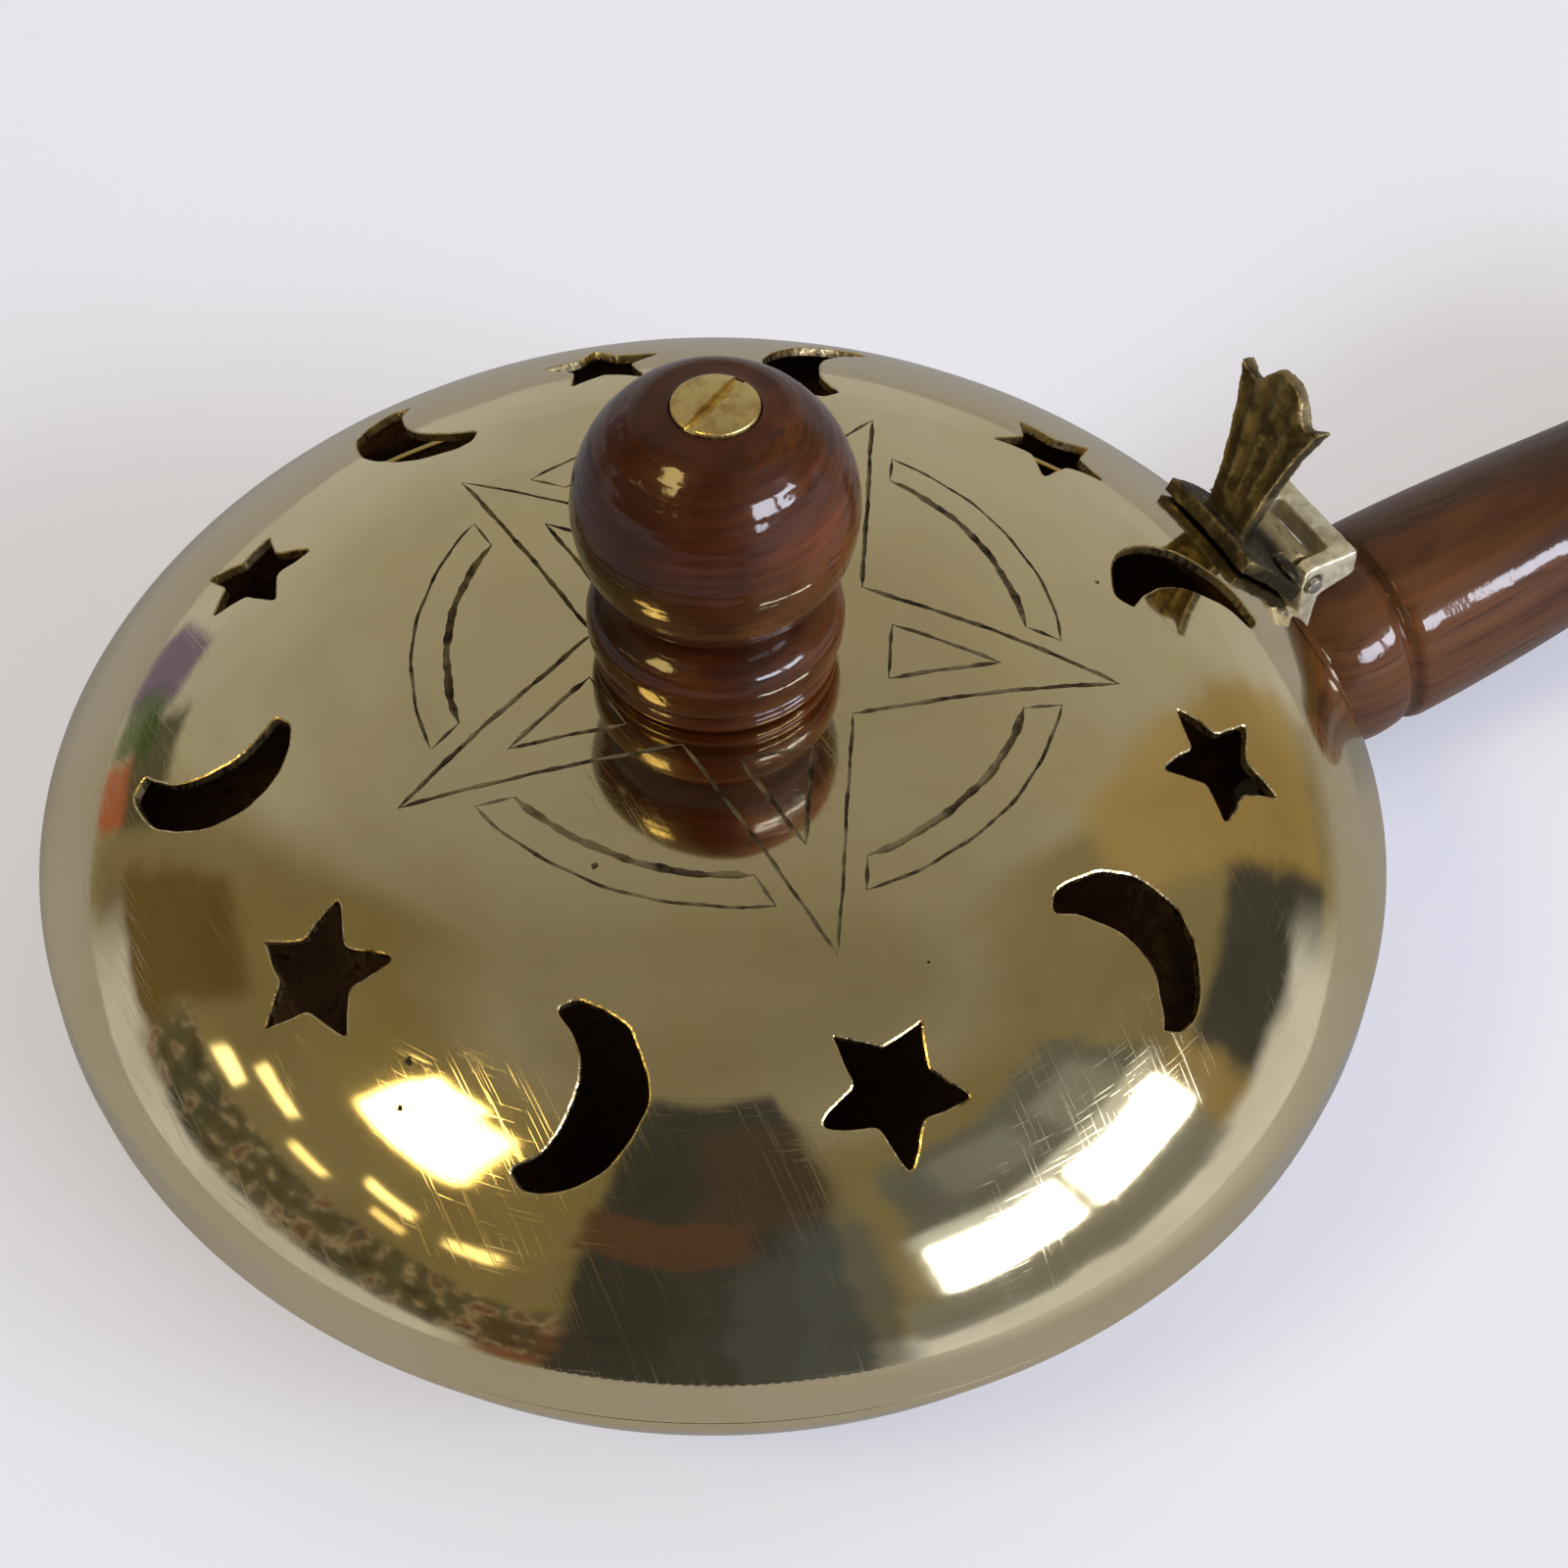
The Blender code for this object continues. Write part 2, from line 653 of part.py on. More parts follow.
def handle_profile():
    """Radius and distance along the axis: bead, groove, then a shaft that narrows and swells to its end."""
    face = HANDLE_FACE
    groove = 0.0163
    bead = [(0.0100, face), (0.0116, face + 0.0012), (0.0126, face + 0.0040), (0.0130, face + 0.0075)]
    bead += [(0.0128, groove - 0.0014), (0.0121, groove - 0.0003), (0.0119, groove)]
    shaft = [(0.0122, groove + 0.0005), (0.0131, groove + 0.0016), (0.0132, groove + 0.0035)]
    start, narrow, wide = 0.0132, 0.0108, 0.0122
    steps = 10
    for i in range(1, steps + 1):
        share = i / steps
        distance = groove + 0.0035 + (HANDLE_LENGTH - 0.030 - groove) * share
        waist = 0.5 - 0.5 * math.cos(math.pi * min(1.0, share / 0.62))
        swell = 0.5 - 0.5 * math.cos(math.pi * max(0.0, (share - 0.62) / 0.38))
        shaft.append((start + (narrow - start) * waist + (wide - narrow) * swell, distance))
    tip_start = shaft[-1][1]
    tip = []
    for i in range(1, 7):
        angle = i / 6 * math.pi / 2
        reach = HANDLE_LENGTH - tip_start
        tip.append((wide * math.cos(angle) if i < 6 else 0.0, tip_start + reach * math.sin(angle)))
    return [(0, BORE_DEPTH), (BORE_RADIUS, BORE_DEPTH), (BORE_RADIUS, face)] + bead + shaft + tip


def nail_frame():
    """Frame at the handle's axis whose Z runs out to the nail's head."""
    lean = math.radians(NAIL_ANGLE)
    along = handle_direction()
    up = Vector((0, -1, 0)).cross(along) * -1
    direction = up * math.cos(lean) + Vector((0, -1, 0)) * math.sin(lean)
    return frame_matrix(handle_point(NAIL_PLACE), direction)


def build_handle(wood):
    bm = lathe_mesh(handle_profile(), 32)
    bm.transform(frame_matrix(handle_point(0), handle_direction()))
    handle = new_object("handle", bm, wood)
    shank, head = NAIL_RADIUS + GAP, NAIL_HEAD + GAP
    low, seat, high = NAIL_TIP - 0.0010, NAIL_SEAT - GAP, NAIL_SEAT + 0.0080
    outline = [(0, low), (shank, low), (shank, seat), (head, seat), (head, high), (0, high)]
    hole = lathe_mesh(outline, RIVET_STEPS)
    hole.transform(nail_frame())
    boolean(handle, helper("handle_nail_hole", hole), "DIFFERENCE")
    return handle


def build_handle_tang(steel):
    tang = new_object(
        "handle_tang",
        rod_mesh(handle_point(0), handle_direction(), TANG_RADIUS, TANG_START, TANG_END),
        steel,
    )
    hole = rod_mesh((0, 0, 0), (0, 0, 1), NAIL_RADIUS + GAP, -CUT_REACH, CUT_REACH, RIVET_STEPS)
    hole.transform(nail_frame())
    boolean(tang, helper("tang_nail_hole", hole), "DIFFERENCE")
    return tang


def build_handle_nail(steel):
    top = NAIL_SEAT + NAIL_HEAD_HEIGHT
    profile = [(0, NAIL_TIP - 0.0007), (NAIL_RADIUS, NAIL_TIP), (NAIL_RADIUS, NAIL_SEAT)]
    profile += [(NAIL_HEAD, NAIL_SEAT), (NAIL_HEAD, top), (0, top)]
    bm = lathe_mesh(profile, RIVET_STEPS)
    bm.transform(nail_frame())
    return new_object("handle_nail", bm, steel)


def hang_on_hinge(names):
    """Parents what opens with the lid to an empty on the hinge's axis."""
    hinge = bpy.data.objects.new("lid_hinge", None)
    hinge.location = (HINGE_X, 0, HINGE_Z)
    bpy.context.scene.collection.objects.link(hinge)
    bpy.context.view_layer.update()
    for name in names:
        obj = bpy.data.objects[name]
        obj.parent = hinge
        obj.matrix_parent_inverse = hinge.matrix_world.inverted()


def main():
    for obj in list(bpy.data.objects):
        bpy.data.objects.remove(obj)
    brass, cast, wood, steel = polished_brass(), cast_brass(), varnished_wood(), dull_steel()
    build_bowl(brass)
    build_lid(brass)
    build_knob(wood)
    build_knob_screw(brass)
    build_knob_washer(brass)
    build_knob_nut(brass)
    build_thumb_lever(cast)
    build_lever_rivets(cast)
    build_hinge_bracket(cast)
    build_hinge_pin(steel)
    build_bracket_rivets(cast)
    build_handle_tang(steel)
    build_handle(wood)
    build_handle_nail(steel)
    lid_pieces = ["lid", "lid_knob", "knob_screw", "knob_washer", "knob_nut", "thumb_lever"]
    hang_on_hinge(lid_pieces + ["lever_rivet_1", "lever_rivet_2"])


main()
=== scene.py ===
"""Looks for the brass hand censer: engraved, pierced lid, turned wood, rough castings, studio and camera."""

import math

import bmesh
import bpy
import numpy as np
from mathutils import Matrix, Vector, kdtree, noise
from mathutils.geometry import delaunay_2d_cdt


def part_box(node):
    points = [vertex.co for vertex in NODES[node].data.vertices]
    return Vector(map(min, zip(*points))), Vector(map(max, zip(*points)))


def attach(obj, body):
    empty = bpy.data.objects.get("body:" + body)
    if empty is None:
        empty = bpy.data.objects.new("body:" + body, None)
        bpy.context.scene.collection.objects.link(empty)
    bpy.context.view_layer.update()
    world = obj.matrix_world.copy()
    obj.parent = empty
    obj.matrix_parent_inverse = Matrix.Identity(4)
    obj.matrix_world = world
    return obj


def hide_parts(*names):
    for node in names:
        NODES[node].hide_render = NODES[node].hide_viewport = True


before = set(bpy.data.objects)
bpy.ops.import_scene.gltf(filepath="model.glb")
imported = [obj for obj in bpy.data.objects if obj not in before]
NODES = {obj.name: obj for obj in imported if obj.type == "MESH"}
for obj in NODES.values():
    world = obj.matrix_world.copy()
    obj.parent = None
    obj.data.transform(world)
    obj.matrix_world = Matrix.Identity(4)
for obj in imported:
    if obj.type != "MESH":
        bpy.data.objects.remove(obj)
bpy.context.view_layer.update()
MM = 0.001

# Lid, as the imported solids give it
LID_LOW, LID_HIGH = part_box("lid")
LID_RADIUS = (LID_HIGH.y - LID_LOW.y) / 2
LID_BOTTOM, LID_TOP = LID_LOW.z, LID_HIGH.z
LID_WALL = 0.0010
LID_KNEE = LID_BOTTOM + 0.0054
LID_DOME = LID_TOP - LID_KNEE
LID_SHOULDER, LID_CROWN = 3.4, 1.19

# Cut-outs: azimuths in degrees, radii and distances down the slope in millimetres
STAR_AZIMUTHS = (15.7, 76, 132.4, 194.8, 259.8, 320.8)
STAR_RADII = (7.3, 7.3, 6.9, 7.8, 7.9, 7.5)
STAR_INNER, STAR_TURN, STAR_PLACE = 0.5, -4.5, 54.0
MOON_AZIMUTHS = (45, 99, 160.5, 223.8, 289.3, 345)
MOON_PLACE = 53.8
MOON_OUTER, MOON_INNER = (9.6, 0.4, 9.3), (8.0, -1.3, 4.3)
SCREW_HOLE = 2.6
CUT_BEVEL = 0.20
CUT_EDGE_DEPTH = 0.10
PIT_DEPTH = 0.30
RIM_STEPS = 420

# Engraving, in millimetres from its own centre, which is a little off the lid's axis
ENGRAVING_CENTRE = (2.47, -0.53)
ENGRAVING_TURN = math.radians(-177.1)
TIP_RADIUS = 40.3
INNER_RADIUS = 15.4
RING_INNER, RING_OUTER = 30.7, 34.35
RING_GAP = 2.4
INSET_TIP, INSET_BASE = 27.7, 15.9
ENGRAVED_REACH = TIP_RADIUS + 4.5
# Half width and depth of the lines of the star
STAR_LINES = ((0.20, 0.13), (0.15, 0.09), (0.23, 0.16), (0.17, 0.10), (0.21, 0.14))
# Radius, half width, depth and gaps of the lines of the ring
RING_LINES = ((RING_INNER, 0.34, 0.24, 0.15), (RING_OUTER, 0.15, 0.07, 0.7))

VIEW_AZIMUTH = math.radians(-30.5)
VIEW_RIGHT = (math.cos(VIEW_AZIMUTH), math.sin(VIEW_AZIMUTH), 0)


# ---- meshes

def new_object(name, data):
    obj = bpy.data.objects.new(name, data)
    bpy.context.scene.collection.objects.link(obj)
    return obj


def link(name, mesh, body, slot, *replaced):
    """A visual piece that rides with a body and stands in for CAD nodes."""
    obj = new_object(name, mesh)
    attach(obj, body)
    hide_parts(*replaced)
    return obj


def smooth_but_for(mesh, angle):
    """Smooth shading, with edges sharper than the angle kept."""
    mesh.shade_smooth()
    mesh.set_sharp_from_angle(angle=math.radians(angle))


def bm_to_mesh(name, bm, angle):
    bmesh.ops.recalc_face_normals(bm, faces=bm.faces)
    mesh = bpy.data.meshes.new(name)
    bm.to_mesh(mesh)
    bm.free()
    smooth_but_for(mesh, angle)
    return mesh


def lathe(profile, steps, matrix=None, closed=True):
    """Turns a (radius, height) outline in metres about Z. A closed one joins its last point to its first."""
    bm = bmesh.new()
    rings = []
    for radius, height in profile:
        if radius < 1e-7:
            rings.append([bm.verts.new((0, 0, height))] * steps)
            continue
        turn = [2 * math.pi * i / steps for i in range(steps)]
        rings.append([bm.verts.new((radius * math.cos(a), radius * math.sin(a), height)) for a in turn])
    count = len(rings) if closed else len(rings) - 1
    for j in range(count):
        low, high = rings[j], rings[(j + 1) % len(rings)]
        for i in range(steps):
            k = (i + 1) % steps
            corners = list(dict.fromkeys((low[i], low[k], high[k], high[i])))
            if len(corners) > 2:
                bm.faces.new(corners)
    if matrix is not None:
        bm.transform(matrix)
    return bm


def catmull_rom(a, b, c, d, t):
    return 0.5 * (2 * b + (c - a) * t + (2 * a - 5 * b + 4 * c - d) * t * t + (3 * b - a - 3 * c + d) * t**3)


def smooth_line(points, per_span):
    """A Catmull-Rom curve through (x, y) points."""
    out = []
    for i in range(len(points) - 1):
        span = points[max(i - 1, 0)], points[i], points[i + 1], points[min(i + 2, len(points) - 1)]
        for k in range(per_span):
            out.append(tuple(catmull_rom(*values, k / per_span) for values in zip(*span)))
    out.append(tuple(points[-1]))
    return out


def along(origin, direction):
    return Matrix.Translation(Vector(origin)) @ Vector(direction).to_track_quat("Z", "Y").to_matrix().to_4x4()


def evaluated_mesh(obj, name):
    graph = bpy.context.evaluated_depsgraph_get()
    mesh = bpy.data.meshes.new_from_object(obj.evaluated_get(graph))
    mesh.name = name
    return mesh


# ---- lid surface

def smoothed(values, sigma, spacing):
    reach = int(4 * sigma / spacing)
    kernel = np.exp(-0.5 * (np.arange(-reach, reach + 1) * spacing / sigma) ** 2)
    kernel /= kernel.sum()
    low = 2 * values[0] - values[1 : reach + 1][::-1]
    high = 2 * values[-1] - values[-reach - 1 : -1][::-1]
    return np.convolve(np.concatenate([low, values, high]), kernel, "valid")


def meridian():
    """Arc length, radius and height in mm down the lid's outer face, from its axis to the skirt's edge."""
    radius, bottom, spacing, blur, edge = LID_RADIUS / MM, LID_BOTTOM / MM, 0.05, 0.45, 0.35
    angle = np.linspace(1, 0, 6000) ** 1.6 * math.pi / 2
    r = radius * np.cos(angle) ** (2 / LID_SHOULDER)
    z = (LID_KNEE + LID_DOME * np.sin(angle) ** (2 / LID_CROWN)) / MM
    r[0] = 0.0
    r = np.append(r, np.full(60, radius))
    z = np.append(z, np.linspace(LID_KNEE / MM - 0.02, bottom, 60))
    s = np.concatenate([[0], np.cumsum(np.hypot(np.diff(r), np.diff(z)))])
    even = np.append(np.arange(0, s[-1], spacing), s[-1])
    r, z = (smoothed(np.interp(even, s, values), blur, spacing) for values in (r, z))
    share = np.clip((even - (even[-1] - edge)) / edge, 0, 1)
    r = np.minimum(r, radius) - edge * (1 - np.sqrt(1 - share**2 * 0.98))
    return even, r, np.maximum(z, bottom)


LINE_S, LINE_R, LINE_Z = meridian()
S_END = LINE_S[-1]


def wave_set(seed, count, shortest, longest, height):
    draw = np.random.RandomState(seed)
    turn = draw.uniform(0, 2 * math.pi, count)
    length = np.exp(draw.uniform(math.log(shortest), math.log(longest), count))
    phase = draw.uniform(0, 2 * math.pi, count)
    size = height * (length / longest) ** 1.2 / math.sqrt(count)
    return np.cos(turn) / length, np.sin(turn) / length, phase, size


def wave_height(waves, x, y):
    total = np.zeros_like(x)
    for kx, ky, phase, size in zip(*waves):
        total += size * np.sin(2 * math.pi * (kx * x + ky * y) + phase)
    return total


LID_WAVES = wave_set(4, 26, 8, 38, 0.085)
# The waves end above the skirt, and the face is let in a little so that they stay inside the CAD box
PLAIN_SKIRT, WAVE_FADE, LET_IN = 6, 8, 0.03


def lid_base(s, phi):
    """Points in mm on the lid's outer face, with the slight unevenness of hand polishing."""
    r, z = np.interp(s, LINE_S, LINE_R), np.interp(s, LINE_S, LINE_Z)
    x, y = r * np.cos(phi), r * np.sin(phi)
    fade = np.clip((S_END - PLAIN_SKIRT - s) / WAVE_FADE, 0, 1)
    return np.stack([x, y, z + fade * (wave_height(LID_WAVES, x, y) - LET_IN)], -1)


def lid_normal(s, phi):
    step = 0.25
    r = np.maximum(np.interp(s, LINE_S, LINE_R), 0.5)
    low, high = np.clip(s - step, 0, S_END - 0.4), np.clip(s + step, 0.5, S_END - 0.35)
    down = lid_base(high, phi) - lid_base(low, phi)
    side = lid_base(s, phi + step / r) - lid_base(s, phi - step / r)
    n = np.cross(down, side)
    n /= np.linalg.norm(n, axis=-1, keepdims=True)
    out = np.stack([np.cos(phi), np.sin(phi), np.ones_like(phi)], -1)
    return n * np.where((n * out).sum(-1, keepdims=True) < 0, -1, 1)


def s_of_radius(r):
    """Arc length at a radius in mm, above the lid's knee."""
    first = np.searchsorted(-LINE_Z, -(LID_KNEE / MM + 0.4))
    return np.interp(r, LINE_R[:first], LINE_S[:first])


def plan_from_local(points, azimuth, place):
    """(x down the slope, y towards rising azimuth) in mm about a place on the lid, to the plan's (u, v)."""
    points = np.asarray(points, float)
    s = s_of_radius(place) + points[:, 0]
    phi = math.radians(azimuth) + points[:, 1] / np.interp(s, LINE_S, LINE_R)
    return np.stack([s * np.cos(phi), s * np.sin(phi)], -1)


def plan_from_top(points):
    """Points seen straight from above, in mm, to the plan's (u, v)."""
    points = np.asarray(points, float)
    r = np.hypot(points[:, 0], points[:, 1])
    s = s_of_radius(r)
    return points * (s / np.maximum(r, 1e-6))[:, None]


# ---- cut-outs

def arc_points(half_chord, offset, rise, steps):
    """An arc over a chord along X, from -half_chord to half_chord, with its middle at offset + rise."""
    radius = (half_chord**2 + rise**2) / (2 * rise)
    reach = math.asin(min(1.0, half_chord / radius))
    if rise > half_chord:
        reach = math.pi - reach
    centre = offset + rise - radius
    angles = [reach * (2 * i / steps - 1) for i in range(steps + 1)]
    return [(radius * math.sin(a), centre + radius * math.cos(a)) for a in angles]


def star_outline(radius):
    points = []
    for i in range(10):
        share = radius * (1.0 if i % 2 == 0 else STAR_INNER)
        angle = math.radians(STAR_TURN + 36 * i)
        points.append((share * math.cos(angle), share * math.sin(angle)))
    return points


def moon_outline():
    return arc_points(*MOON_OUTER, 24) + arc_points(*MOON_INNER, 16)[::-1]


def dense_loop(points, spacing):
    points = np.asarray(points, float)
    out = []
    for a, b in zip(points, np.roll(points, -1, axis=0)):
        count = max(1, int(round(np.linalg.norm(b - a) / spacing)))
        out += [a + (b - a) * k / count for k in range(count)]
    return np.array(out)


def loop_normals(points):
    """Outward normals of an anticlockwise or clockwise loop."""
    along_it = np.roll(points, -1, axis=0) - np.roll(points, 1, axis=0)
    normal = np.stack([along_it[:, 1], -along_it[:, 0]], -1)
    normal /= np.maximum(np.linalg.norm(normal, axis=1, keepdims=True), 1e-9)
    x, y = points[:, 0], points[:, 1]
    area = np.sum(x * np.roll(y, -1) - np.roll(x, -1) * y)
    return normal if area > 0 else -normal


def sawn(outline, seed):
    """The outline as a piercing saw and a file leave it: slightly wavy, with its corners a little blunt."""
    loop = dense_loop(outline, 0.42)
    waves = wave_set(seed, 10, 1.8, 9.0, 0.34)
    loop = loop + loop_normals(loop) * wave_height(waves, loop[:, 0] + 31, loop[:, 1])[:, None]
    for _ in range(2):
        loop = 0.5 * loop + 0.25 * (np.roll(loop, 1, axis=0) + np.roll(loop, -1, axis=0))
    return loop


def inside(points, loop):
    """Whether each point lies in a closed loop."""
    x, y = points[:, 0][:, None], points[:, 1][:, None]
    a, b = loop, np.roll(loop, -1, axis=0)
    crosses = (a[:, 1] > y) != (b[:, 1] > y)
    with np.errstate(divide="ignore", invalid="ignore"):
        at = a[:, 0] + (y - a[:, 1]) * (b[:, 0] - a[:, 0]) / (b[:, 1] - a[:, 1])
    return (np.where(crosses, x < at, False).sum(1) % 2) == 1


# ---- engraving

class Groove:
    """One engraved line: its middle, half width and depth, uneven like a line cut by hand."""

    def __init__(self, points, half_width, depth, seed, wobble=0.10, gaps=0.0):
        points = np.asarray(points, float)
        steps = np.linalg.norm(np.diff(points, axis=0), axis=1)
        length = np.concatenate([[0], np.cumsum(steps)])
        count = max(2, int(length[-1] / 0.55))
        even = np.linspace(0, length[-1], count + 1)
        line = np.stack([np.interp(even, length, points[:, k]) for k in (0, 1)], -1)
        tangent = np.gradient(line, axis=0)
        tangent /= np.linalg.norm(tangent, axis=1, keepdims=True)
        self.normal = np.stack([-tangent[:, 1], tangent[:, 0]], -1)
        draw = np.random.RandomState(seed)
        phases = draw.uniform(0, 6.28, 6)
        sway = sum(np.sin(even * k / 2.2 + p) for k, p in zip((0.4, 0.9, 2.1), phases)) / 3
        bite = sum(np.sin(even * k / 0.9 + p) for k, p in zip((0.7, 1.6, 2.9), phases[3:])) / 3
        ends = np.clip(np.minimum(even, length[-1] - even) / 1.6, 0.25, 1)
        self.width = 1.2 * half_width * ends * (1 + 0.35 * bite)
        strength = np.clip(0.75 + 0.6 * bite - gaps * (0.5 + 0.5 * np.sin(even / 1.7 + phases[0])), 0.12, 1.2)
        self.depth = 1.3 * depth * ends * strength
        self.centre = line + self.normal * (wobble * sway)[:, None]

    def sides(self):
        reach = self.normal * self.width[:, None]
        return self.centre + reach, self.centre - reach


def polar(radius, angle):
    return np.array([radius * math.cos(angle), radius * math.sin(angle)])


def last_meeting(p, d, radius):
    """Where the line p + t d, followed forwards, last meets a circle about the origin."""
    b = float(np.dot(p, d))
    c = float(np.dot(p, p)) - radius**2
    return p + d * (-b + math.sqrt(max(0.0, b * b - c)))


def engraving():
    """The five-pointed star, the triangle in each arm, and the broken ring with its slanted ends."""
    grooves = []

    def cut(points, half_width, depth, **more):
        points = np.array(points) + np.array(ENGRAVING_CENTRE)
        grooves.append(Groove(plan_from_top(points), half_width, depth, len(grooves) + 11, **more))

    half = math.radians(36)
    for k in range(5):
        angle = ENGRAVING_TURN + k * math.radians(72)
        tip = polar(TIP_RADIUS, angle)
        left, right = polar(INNER_RADIUS, angle + half), polar(INNER_RADIUS, angle - half)
        cut([left, tip], *STAR_LINES[k])
        cut([right, tip], *STAR_LINES[(k + 2) % 5])
        inset_tip = polar(INSET_TIP, angle)
        reach = (INSET_TIP - INSET_BASE) / math.cos(math.radians(18))
        base = [inset_tip + (p - tip) / np.linalg.norm(p - tip) * reach for p in (left, right)]
        cut([base[0], inset_tip], 0.20, 0.12)
        cut([inset_tip, base[1]], 0.22, 0.15)
        cut(base, 0.16, 0.09, gaps=0.3)
        ends = {}
        start = left + polar(RING_GAP / math.sin(math.radians(54)), angle + half)
        for side, far_angle in ((1, angle), (-1, angle + 2 * half)):
            far_tip = polar(TIP_RADIUS, far_angle)
            for radius in (RING_INNER, RING_OUTER):
                x, y = last_meeting(start, (far_tip - left) / np.linalg.norm(far_tip - left), radius)
                ends[radius, side] = math.atan2(y, x)
        for radius, width, depth, gaps in RING_LINES:
            first, last = ends[radius, 1], ends[radius, -1]
            if last < first:
                last += 2 * math.pi
            arc = [polar(radius, first + (last - first) * i / 30) for i in range(31)]
            cut(arc, width, depth, wobble=0.16, gaps=gaps)
        for side in (1, -1):
            cut([polar(radius, ends[radius, side]) for radius in (RING_INNER, RING_OUTER)], 0.17, 0.11)
    return grooves


# Pits in the brass, in mm: how far to the right and to the back as the camera sees the lid, and the radius
PITS = (
    (-11.0, -29.0, 0.45), (-28.0, -48.0, 0.55), (-28.6, -52.0, 0.40), (41.0, 14.0, 0.35), (22.0, -38.0, 0.22),
)


def pit_places():
    """The pits in the lid's own frame."""
    c, s, _ = VIEW_RIGHT
    return [(x * c - y * s, x * s + y * c, r) for x, y, r in PITS]


# ---- lid mesh

def near_segments(points, grooves):
    """At each plan point, the engraving's depth and how far across a groove it is (0 is the middle)."""
    starts = np.concatenate([g.centre[:-1] for g in grooves])
    ends = np.concatenate([g.centre[1:] for g in grooves])
    width = np.concatenate([(g.width[:-1] + g.width[1:]) / 2 for g in grooves])
    depth = np.concatenate([(g.depth[:-1] + g.depth[1:]) / 2 for g in grooves])
    span = ends - starts
    squared = (span**2).sum(1)
    deep, across = np.zeros(len(points)), np.full(len(points), 9.0)
    for low in range(0, len(points), 2000):
        p = points[low : low + 2000, None, :] - starts[None]
        t = np.clip((p * span).sum(-1) / squared, 0, 1)
        gap = np.linalg.norm(p - t[..., None] * span, axis=-1) / width
        amount = depth * np.clip(1 - gap, 0, 1) ** 0.7
        deep[low : low + 2000] = amount.max(1)
        across[low : low + 2000] = gap.min(1)
    return deep, across


def circle(turn):
    return np.stack([np.cos(turn), np.sin(turn)], -1)


def lid_plan():
    """Triangulates the lid's plan around the cut-outs and the engraving."""
    points, edges, tags, loops = [], [], [], []

    def add(line, tag, closed=True):
        first, count = len(points), len(line)
        points.extend(line)
        tags.extend([tag] * count)
        edges.extend((first + i, first + i + 1) for i in range(count - 1))
        if closed:
            edges.append((first + count - 1, first))

    shapes = [(star_outline(r), a, STAR_PLACE) for r, a in zip(STAR_RADII, STAR_AZIMUTHS)]
    shapes += [(moon_outline(), a, MOON_PLACE) for a in MOON_AZIMUTHS]
    for number, (outline, azimuth, place) in enumerate(shapes):
        local = sawn(outline, 40 + number)
        edge = plan_from_local(local, azimuth, place)
        bevel = plan_from_local(local + loop_normals(local) * CUT_BEVEL, azimuth, place)
        add(edge, "edge")
        add(bevel, "skin")
        loops.append((edge, bevel))
    turn = np.linspace(0, 2 * math.pi, 49)[:-1]
    hole = circle(turn) * SCREW_HOLE
    add(hole, "edge")
    loops.append((hole, hole))
    grooves = engraving()
    for groove in grooves:
        left, right = groove.sides()
        add(left, "skin", False)
        add(groove.centre, "groove", False)
        add(right, "skin", False)
    few = turn[::5]
    for x, y, radius in pit_places():
        middle = plan_from_top([(x, y)])[0]
        add(circle(few) * radius * (1 + 0.3 * np.sin(few * 3 + x))[:, None] + middle, "skin")
        points.append(middle)
        tags.append("pit")
    fill_plan(points, tags)
    add(circle(np.linspace(0, 2 * math.pi, RIM_STEPS + 1)[:-1]) * S_END, "rim")
    made = delaunay_2d_cdt([Vector((float(p[0]), float(p[1]))) for p in points], edges, [], 0, 1e-5, True)
    plan = np.array([tuple(v) for v in made[0]])
    faces = np.array([tuple(f) for f in made[2] if len(f) == 3])
    kinds = []
    for origin in made[3]:
        names = {tags[i] for i in origin}
        kinds.append("edge" if "edge" in names else "pit" if "pit" in names else "skin")
    return plan, faces, np.array(kinds), loops, grooves


def fill_plan(points, tags):
    """Adds rings of points between the lines, finer on the steep shoulder and skirt."""
    taken = kdtree.KDTree(len(points))
    for i, p in enumerate(points):
        taken.insert((p[0], p[1], 0), i)
    taken.balance()

    def steep(s):
        return np.interp(s, LINE_S, LINE_Z) < LID_KNEE / MM + 4.5

    rings = [SCREW_HOLE + 1.2]
    while rings[-1] < S_END - 0.8:
        rings.append(rings[-1] + (0.5 if steep(rings[-1]) else 1.25))
    rings[-1:] = [S_END - gap for gap in (0.35, 0.22, 0.12, 0.04)]
    for k, s in enumerate(rings):
        count = RIM_STEPS if steep(s) else max(24, int(2 * math.pi * s / 1.3))
        for i in range(count):
            angle = 2 * math.pi * (i + 0.5 * (k % 2)) / count
            p = (s * math.cos(angle), s * math.sin(angle))
            if taken.find((p[0], p[1], 0))[2] > 0.42:
                points.append(p)
                tags.append("skin")


def cut_holes(middle, loops):
    """From the faces' middles: which faces stay, and which of them lie on a cut-out's bevel."""
    keep, on_bevel = np.ones(len(middle), bool), np.zeros(len(middle), bool)
    for edge, bevel in loops:
        centre = edge.mean(0)
        reach = np.linalg.norm(bevel - centre, axis=1).max() + 0.5
        near = np.nonzero(np.linalg.norm(middle - centre, axis=1) < reach)[0]
        in_edge = inside(middle[near], edge)
        keep[near[in_edge]] = False
        on_bevel[near[inside(middle[near], bevel) & ~in_edge]] = True
    return keep, on_bevel


def border_edges(faces):
    """The edges that only one triangle has, in the direction in which it has them."""
    edges = np.concatenate([faces[:, [0, 1]], faces[:, [1, 2]], faces[:, [2, 0]]])
    _, index, number = np.unique(np.sort(edges, axis=1), axis=0, return_inverse=True, return_counts=True)
    return edges[number[index.reshape(-1)] == 1]


